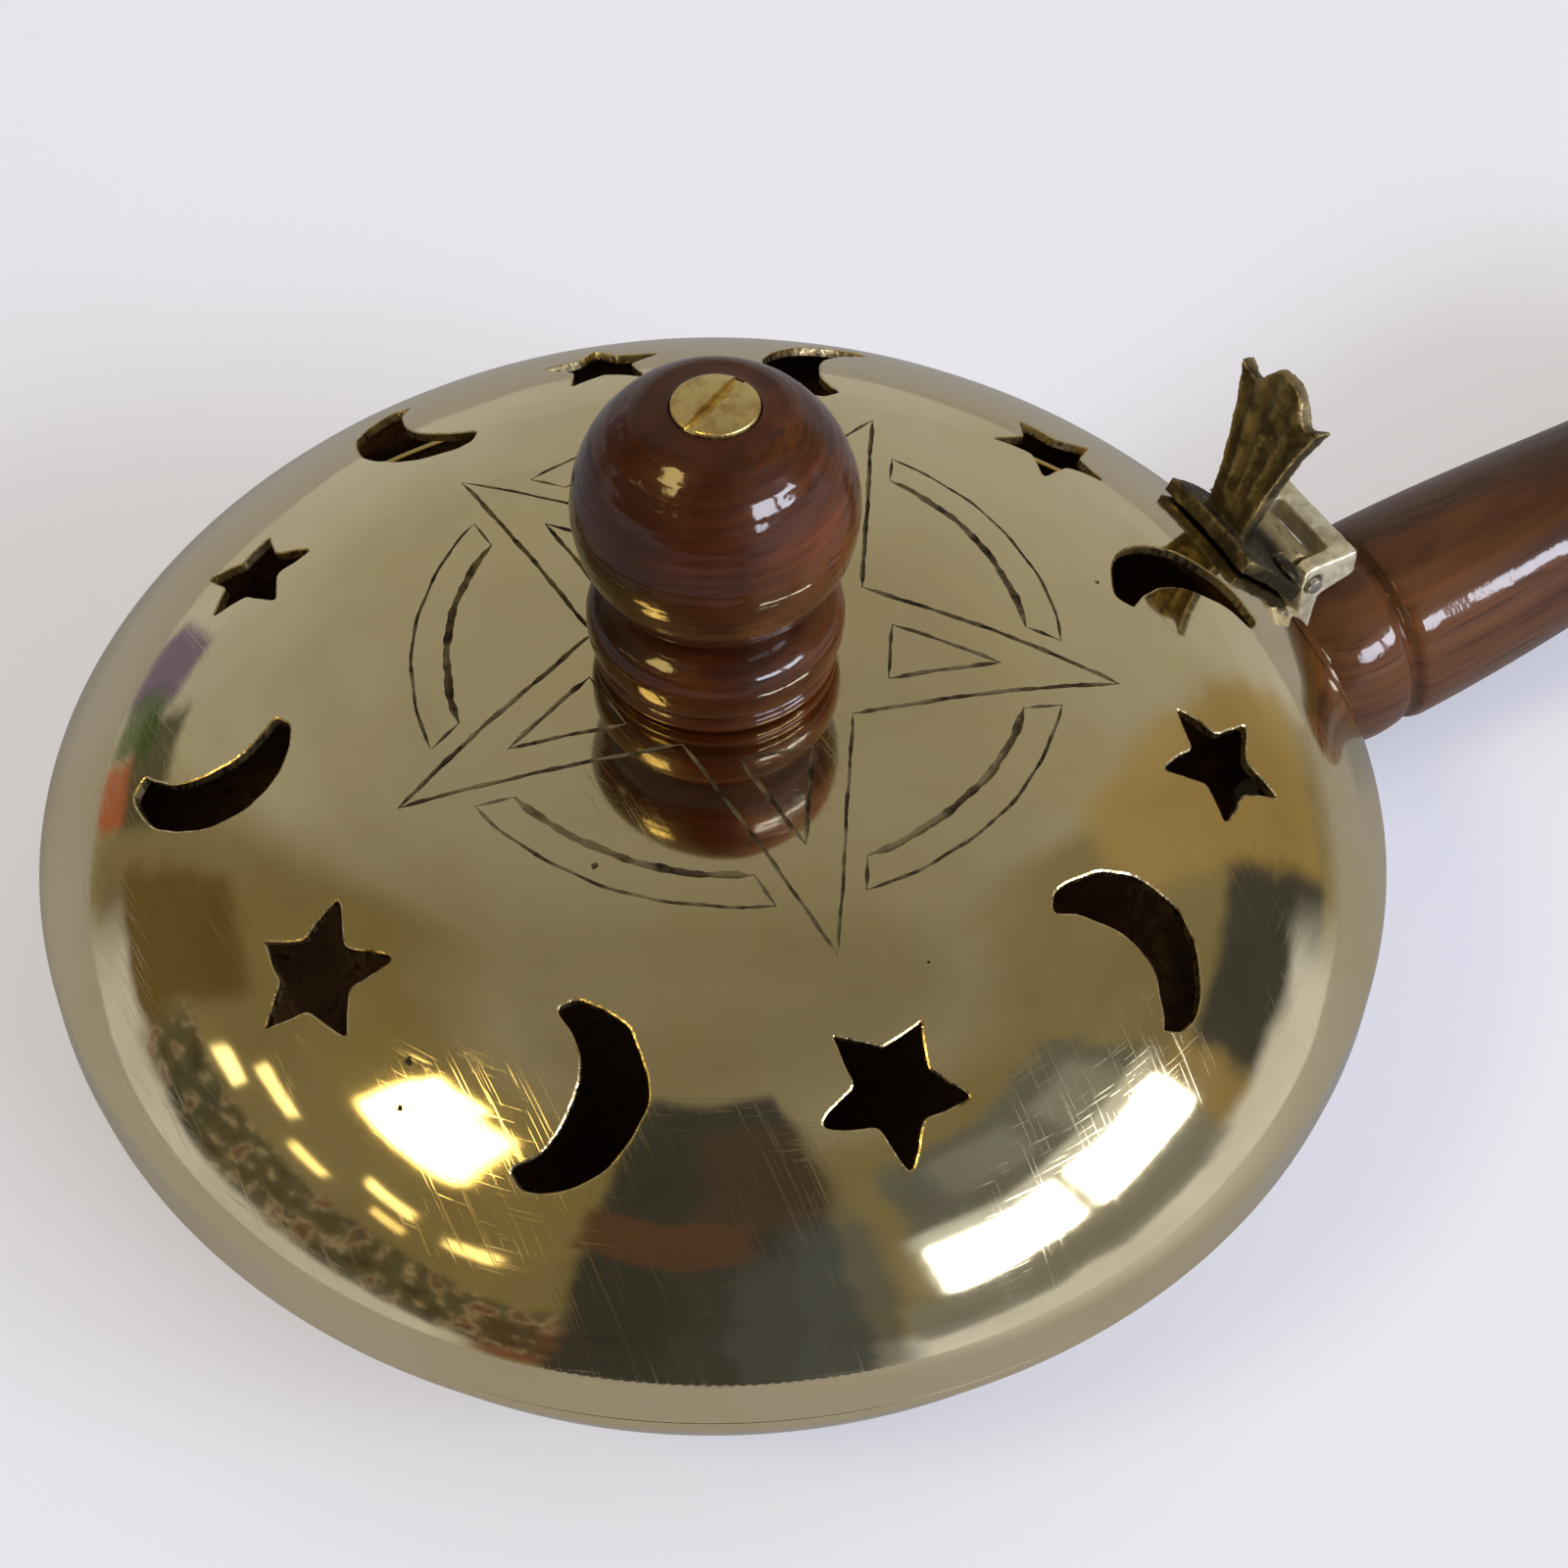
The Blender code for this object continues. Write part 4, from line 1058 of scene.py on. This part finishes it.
def varnished_wood(name, tilt, grain_scale=1.0, run=1.0, tint=(1.0, 1.0, 1.0), painted_lit_side=None):
    """Turned hardwood under varnish. Its growth lines lie square to the tilted Z axis.

    A low run draws the lines out in X. Painted shade makes the side facing away from the lit side darker and
    greyer.
    """
    made, g, shader, untilted = new_material(name)
    place = g.mapping(untilted, rotation=(0, tilt, 0))
    bend = g.noise(g.mapping(place, scale=(run, 1, 1.6)), 30, 2, 0.45)
    x, _, z = g.split(place)
    level = g.add(g.add(g.mul(z, 900 * grain_scale), g.mul(bend, 6.0)), g.mul(x, 60 * run))
    streak = g.node("ShaderNodeTexNoise", noise_dimensions="1D")
    lines = g.fill(streak, W=level, Scale=1.0, Detail=5.0, Roughness=0.6).outputs["Fac"]

    def drawn_out(across, along_grain, detail, rough, distortion=0.0):
        scale = (across * run, across, along_grain * grain_scale)
        return g.noise(g.mapping(place, scale=scale), 1.0, detail, rough, distortion)

    broad, fibres = drawn_out(26, 60, 4, 0.55, 0.4), drawn_out(130, 2600, 4, 0.65)
    pores = drawn_out(420, 2600, 2, 0.5)
    mixed = g.add(g.add(g.mul(broad, 0.70), g.mul(lines, 0.13)), g.mul(fibres, 0.17))
    tone = g.ramp(mixed, [(at, tuple(c * t for c, t in zip(color, tint))) for at, color in WOOD_TONES])
    # Painted shade: away from the lit side the wood is multiplied darker and greyer, with a soft edge
    if painted_lit_side:
        across = g.node("ShaderNodeVectorMath", operation="DOT_PRODUCT")
        g.put(across.inputs[0], untilted)
        g.put(across.inputs[1], painted_lit_side)
        share = g.smooth(g.add(across.outputs["Value"], g.mul(g.add(broad, -0.5), 0.02)), 0.001, 0.014)
        tone = g.mix(share, g.mix(1.0, tone, (0.40, 0.34, 0.26), "MULTIPLY"), tone)
    tone = g.mix(g.smooth(pores, 0.60, 0.72, 0.0, 0.5), tone, (0.014, 0.005, 0.0025))
    turned = g.noise(g.mapping(place, scale=(900, 160, 160) if run < 1 else (160, 160, 900)), 1.0, 2, 0.5)
    dips = g.noise(place, 260, 3, 0.55)
    relief = g.bump(g.add(g.mul(dips, 0.9), g.mul(turned, 0.22)), 0.34, 0.00022)
    grain = g.bump(g.add(g.mul(fibres, 0.6), pores), 0.35, 0.0001, relief)
    g.fill(
        shader, Base_Color=tone, Roughness=g.smooth(fibres, 0.3, 0.7, 0.50, 0.36), Specular_IOR_Level=0.08,
        Coat_Weight=0.66, Coat_Roughness=0.07, Coat_IOR=1.52, Normal=grain, Coat_Normal=relief,
    )
    return made


def screw_brass():
    """Yellow brass with fine lines across it and a few stains."""
    made, g, shader, place = new_material("screw_brass")
    lines = g.noise(g.mapping(place, rotation=(0, 0, 0.9), scale=(2400, 160, 400)), 1.0, 3, 0.6)
    stain = g.noise(place, 420, 4, 0.6)
    tone = g.mix(g.smooth(stain, 0.42, 0.70), (0.88, 0.70, 0.30), (0.60, 0.42, 0.16))
    roughness, marks = g.smooth(lines, 0.3, 0.7, 0.26, 0.44), g.bump(g.add(lines, stain), 0.35, 0.00016)
    g.fill(shader, Base_Color=tone, Metallic=1.0, Roughness=roughness, Normal=marks)
    return made


def dull_steel():
    made, g, shader, place = new_material("dull_steel")
    rust = g.noise(place, 620, 4, 0.65)
    tone = g.mix(g.smooth(rust, 0.50, 0.72), (0.42, 0.40, 0.37), (0.16, 0.085, 0.04))
    metal, roughness = g.smooth(rust, 0.5, 0.75, 1.0, 0.4), g.smooth(rust, 0.35, 0.7, 0.32, 0.6)
    g.fill(shader, Base_Color=tone, Metallic=metal, Roughness=roughness, Normal=g.bump(rust, 0.3, 0.0002))
    return made


# ---- studio

def build_floor():
    bm = bmesh.new()
    bmesh.ops.create_grid(bm, x_segments=8, y_segments=8, size=1.6)
    mesh = bpy.data.meshes.new("floor")
    bm.to_mesh(mesh)
    bm.free()
    floor = new_object("floor", mesh)
    made, g, shader, place = new_material("pale_floor")
    tint = g.noise(place, 3, 2, 0.5)
    pale = g.mix(tint, (0.470, 0.490, 0.580), (0.485, 0.505, 0.595))
    mirrored = g.node("ShaderNodeLightPath").outputs["Is Glossy Ray"]
    tone = g.mix(g.mul(mirrored, 0.8), pale, (0.15, 0.15, 0.165))
    glow = g.smooth(mirrored, 0.0, 1.0, 0.40, 0.14)
    g.fill(
        shader, Base_Color=tone, Roughness=0.75, Specular_IOR_Level=0.2,
        Emission_Color=(0.783, 0.775, 0.830), Emission_Strength=glow,
    )
    mesh.materials.append(made)


def band(g, value, middle, half, soft, turning=False):
    """1 within `half` of the middle, fading to 0 over `soft`. A turning value wraps at 180 degrees."""
    away = g.math("SUBTRACT", value, middle)
    if turning:
        away = g.math("WRAP", away, 180.0, -180.0)
    return g.smooth(g.math("ABSOLUTE", away), half, half + soft, 1.0, 0.0)


# Walls and ceiling, from the horizon (0) to straight up (1).
WALL_TONES = (
    (0.0, (0.47, 0.46, 0.45)), (0.30, (0.385, 0.365, 0.325)), (0.50, (0.335, 0.31, 0.262)),
    (0.66, (0.285, 0.26, 0.212)), (0.84, (0.245, 0.22, 0.165)), (1.0, (0.225, 0.198, 0.142)),
)
# What the polished lid mirrors: azimuth (0 is straight ahead of the camera, positive to its right), its
# half width and soft edge, then the same for elevation, all in degrees, a colour, and how solid it is.
ROOM = (
    ((0, 180, 1), (90, 14, 10), (0.222, 0.195, 0.140), 0.9),
    # golden walls at the sides, and what stands in front of them
    ((-118, 52, 12), (30, 28, 14), (0.190, 0.152, 0.074), 0.95),
    ((112, 58, 12), (30, 26, 14), (0.200, 0.165, 0.085), 0.90),
    ((54, 9, 5), (26, 19, 6), (0.34, 0.245, 0.105), 0.8),
    ((-79, 7, 5), (19, 14, 5), (0.105, 0.066, 0.022), 0.85),
    ((79, 12, 4), (16, 11, 4), (0.040, 0.044, 0.052), 0.92),
    ((98, 4, 3), (18, 12, 5), (0.30, 0.22, 0.10), 0.7),
    # pale table edge, which the steep shoulder shows
    ((114, 36, 12), (1, 8, 5), (0.70, 0.72, 0.84), 0.92),
    ((-112, 30, 14), (-2, 9, 4), (0.58, 0.58, 0.62), 0.95),
    # dark skirting and shelves low at the left
    ((-57, 5, 3), (12.0, 4.5, 3), (0.050, 0.052, 0.030), 0.88),
    ((-158, 7, 3), (10, 7, 3), (0.16, 0.045, 0.035), 0.75),
    ((-99, 3.5, 2), (14, 5, 3), (0.10, 0.12, 0.10), 0.8),
    ((-46, 2.6, 2), (5, 5, 3), (0.13, 0.09, 0.20), 0.9),
    ((-52, 2.2, 2), (5, 4, 3), (0.04, 0.085, 0.03), 0.8),
    ((-59, 2.4, 2), (3, 3, 2), (0.36, 0.08, 0.03), 0.8),
    # dark shapes behind the camera
    ((179, 20, 3), (36, 37, 4), (0.036, 0.037, 0.040), 0.96),
    ((168, 10, 6), (58, 9, 4), (0.068, 0.048, 0.038), 0.8),
    ((-172, 13, 3), (44, 4.5, 1.5), (0.095, 0.050, 0.034), 0.9),
    ((160, 6, 5), (22, 20, 9), (0.085, 0.095, 0.115), 0.7),
    ((172, 2.2, 2), (20, 16, 9), (0.080, 0.085, 0.10), 0.6),
    # window frame, glare above it and glass below it
    ((121, 23, 3), (44, 8, 4), (0.10, 0.115, 0.14), 0.75),
    ((108, 5, 4), (43, 4, 3), (0.30, 0.31, 0.34), 0.6),
    ((128, 7, 5), (46, 3, 3), (0.26, 0.27, 0.30), 0.5),
    ((125, 24, 3), (15, 4.5, 3), (0.20, 0.21, 0.23), 0.8),
)
# Where small things stand close together, and their tones from dark to light and back.
CLUTTER = ((-124, 32, 6), (14.5, 6.5, 3))
CLUTTER_TONES = (
    (0.34, (0.016, 0.015, 0.012)), (0.44, (0.070, 0.052, 0.030)), (0.49, (0.030, 0.048, 0.040)),
    (0.54, (0.150, 0.110, 0.060)), (0.58, (0.36, 0.32, 0.24)), (0.62, (0.130, 0.028, 0.018)),
    (0.70, (0.055, 0.060, 0.050)),
)
# The same for what shines.
WINDOWS = (
    ((109.5, 8.6, 2.0), (27.3, 4.6, 1.8), (18.0, 19.2, 22.5), 1.0),
    ((133.0, 9.8, 2.2), (27.8, 4.7, 1.9), (18.0, 19.2, 22.5), 1.0),
    ((121.5, 22.0, 5.0), (35.5, 0.9, 2.0), (0.9, 0.95, 1.05), 0.6),
)
LAMPS = (
    ((-124, 10.4, 4.0), (49.0, 4.2, 3.0), (15.0, 11.0, 4.0), 1.0),
    ((-119, 5.2, 3.0), (54.5, 1.8, 2.0), (15.0, 11.0, 4.0), 1.0),
    ((-145, 2.6, 1.8), (31.0, 0.8, 1.0), (2.7, 2.1, 0.95), 0.95),
    ((-130, 4.6, 2.0), (32.5, 0.8, 1.0), (2.7, 2.1, 0.95), 0.95),
    ((-132, 2.8, 1.6), (27.6, 0.6, 0.9), (1.9, 1.4, 0.6), 0.9),
    ((-116.5, 2.4, 1.6), (26.2, 0.6, 0.9), (2.2, 1.7, 0.75), 0.9),
    ((-104.5, 4.2, 1.8), (30.6, 0.9, 1.0), (2.9, 2.3, 1.1), 0.95),
    ((-98, 2.0, 1.5), (24.6, 1.1, 1.0), (2.9, 2.4, 1.3), 0.95),
)


def build_world():
    """A plain room for the brass to mirror: walls, ceiling, a window, a few lamps and dark shapes."""
    world = bpy.data.worlds.new("studio")
    bpy.context.scene.world = world
    world.use_nodes = True
    tree = world.node_tree
    tree.nodes.clear()
    g = Graph(tree)
    direction = g.node("ShaderNodeTexCoord").outputs["Generated"]
    turned = g.fill(
        g.node("ShaderNodeVectorRotate", rotation_type="Z_AXIS"), Vector=direction, Angle=-VIEW_AZIMUTH
    )
    x, y, z = g.split(turned.outputs[0])
    azimuth = g.mul(g.math("ARCTAN2", x, y), 180 / math.pi)
    elevation = g.mul(g.math("ARCSINE", z), 180 / math.pi)
    coarse = g.add(g.noise(direction, 4.5, 4, 0.6), -0.5)
    other = g.add(g.noise(g.mapping(direction, location=(7, 3, 5)), 5.5, 4, 0.6), -0.5)
    uneven = g.noise(direction, 2.4, 4, 0.55)
    tone = g.ramp(g.math("DIVIDE", elevation, 90), WALL_TONES)
    things = g.ramp(g.noise(g.mapping(direction, scale=(1, 1, 0.55)), 19, 3, 0.55), CLUTTER_TONES)
    shelf = band(g, g.add(elevation, g.mul(other, 7.0)), *CLUTTER[1])
    cluttered = g.mul(shelf, band(g, azimuth, *CLUTTER[0], True))
    for shapes, sway_az, sway_el in ((ROOM, 9.0, 7.0), (WINDOWS, 1.6, 1.4), (LAMPS, 3.6, 2.6)):
        if shapes is WINDOWS:
            tone = g.mix(g.mul(cluttered, 0.8), tone, things)
        az = g.add(azimuth, g.mul(coarse, sway_az))
        el = g.add(elevation, g.mul(other, sway_el))
        for (a, half_a, soft_a), (e, half_e, soft_e), color, strength in shapes:
            mask = band(g, el, e, half_e, soft_e)
            if half_a < 180:
                mask = g.mul(mask, band(g, az, a, half_a, soft_a, True))
            tone = g.mix(g.mul(mask, strength), tone, color)
    tone = g.mix(g.smooth(uneven, 0.35, 0.70, 0.0, 0.5), tone, (0.72, 0.70, 0.66), "MULTIPLY")
    room = g.fill(g.node("ShaderNodeBackground"), Color=tone)
    pale = g.fill(g.node("ShaderNodeBackground"), Color=(0.783, 0.775, 0.823))
    seen = g.node("ShaderNodeLightPath").outputs["Is Camera Ray"]
    choose = g.node("ShaderNodeMixShader")
    for socket, value in zip(choose.inputs, (seen, room.outputs[0], pale.outputs[0])):
        g.put(socket, value)
    g.fill(g.node("ShaderNodeOutputWorld"), Surface=choose.outputs[0])


def build_lights():
    for name, place, size, power in (
        ("overhead", (-0.1, -0.1, 1.5), 1.8, 7.5), ("fill", (0.75, -0.75, 0.75), 0.9, 2.6)
    ):
        data = bpy.data.lights.new(name, "AREA")
        data.shape, data.size, data.energy = "SQUARE", size, power
        data.color = (1.0, 0.99, 0.99)
        lamp = new_object(name, data)
        lamp.location = place
        lamp.rotation_euler = (-Vector(place)).to_track_quat("-Z", "Y").to_euler()
        lamp.visible_glossy = False


def build_camera():
    data = bpy.data.cameras.new("camera")
    data.lens, data.sensor_width = 67.78, 36.0
    data.clip_start, data.clip_end = 0.01, 20
    camera = new_object("camera", data)
    camera.location = (-0.10066, -0.18564, 0.28734)
    camera.rotation_euler = (0.7034, -0.0160, -0.5135)
    bpy.context.scene.camera = camera


# ---- put together

def dress(obj, *materials):
    """Adds the materials in the order of the faces' numbers. Clearing them first would zero the numbers."""
    for made in materials:
        obj.data.materials.append(made)


def dress_cad(name, made):
    """A CAD node that keeps its shape and gets a worked material."""
    obj = NODES[name]
    obj.data.materials.clear()
    obj.data.materials.append(made)


def main():
    brass = polished_brass()
    patina = inner_patina()
    steel = dull_steel()
    lever_metal = cast_brass(
        "lever_metal", (0.046, 0.035, 0.016), (0.165, 0.128, 0.060), (0.55, 0.44, 0.23),
        painted_shade_below=FAN_FOOT.z + 0.001,
    )
    bracket_metal = cast_brass(
        "bracket_metal", (0.36, 0.32, 0.21), (0.64, 0.58, 0.42), (0.93, 0.88, 0.70), metallic=0.45
    )
    dress(build_lid(), brass, groove_brass(), patina, cut_edge_brass())
    dress(build_bowl(), brass, patina)
    dress(build_knob(), varnished_wood("knob_wood", 0.10, painted_lit_side=VIEW_RIGHT))
    dress(build_screw(), screw_brass())
    lever, bracket = build_castings()
    dress(lever, lever_metal)
    dress(bracket, bracket_metal)
    for part, body, metal in (("lever", "lid_group", lever_metal), ("bracket", "base", bracket_metal)):
        for number in (1, 2):
            dress(build_rivet(f"{part}_rivet_head_{number}", f"{part}_rivet_{number}", body), metal)
    dress(build_pin(), steel)
    dress(build_nail(), steel)
    dress(build_handle(), varnished_wood("handle_wood", HANDLE_TILT, 0.42, 0.16, (0.86, 1.12, 1.4)))
    for name, made in (("knob_washer", patina), ("knob_nut", patina), ("handle_tang", steel)):
        dress_cad(name, made)
    build_floor()
    build_world()
    build_lights()
    build_camera()
    bpy.context.scene.view_settings.view_transform = "Standard"


main()
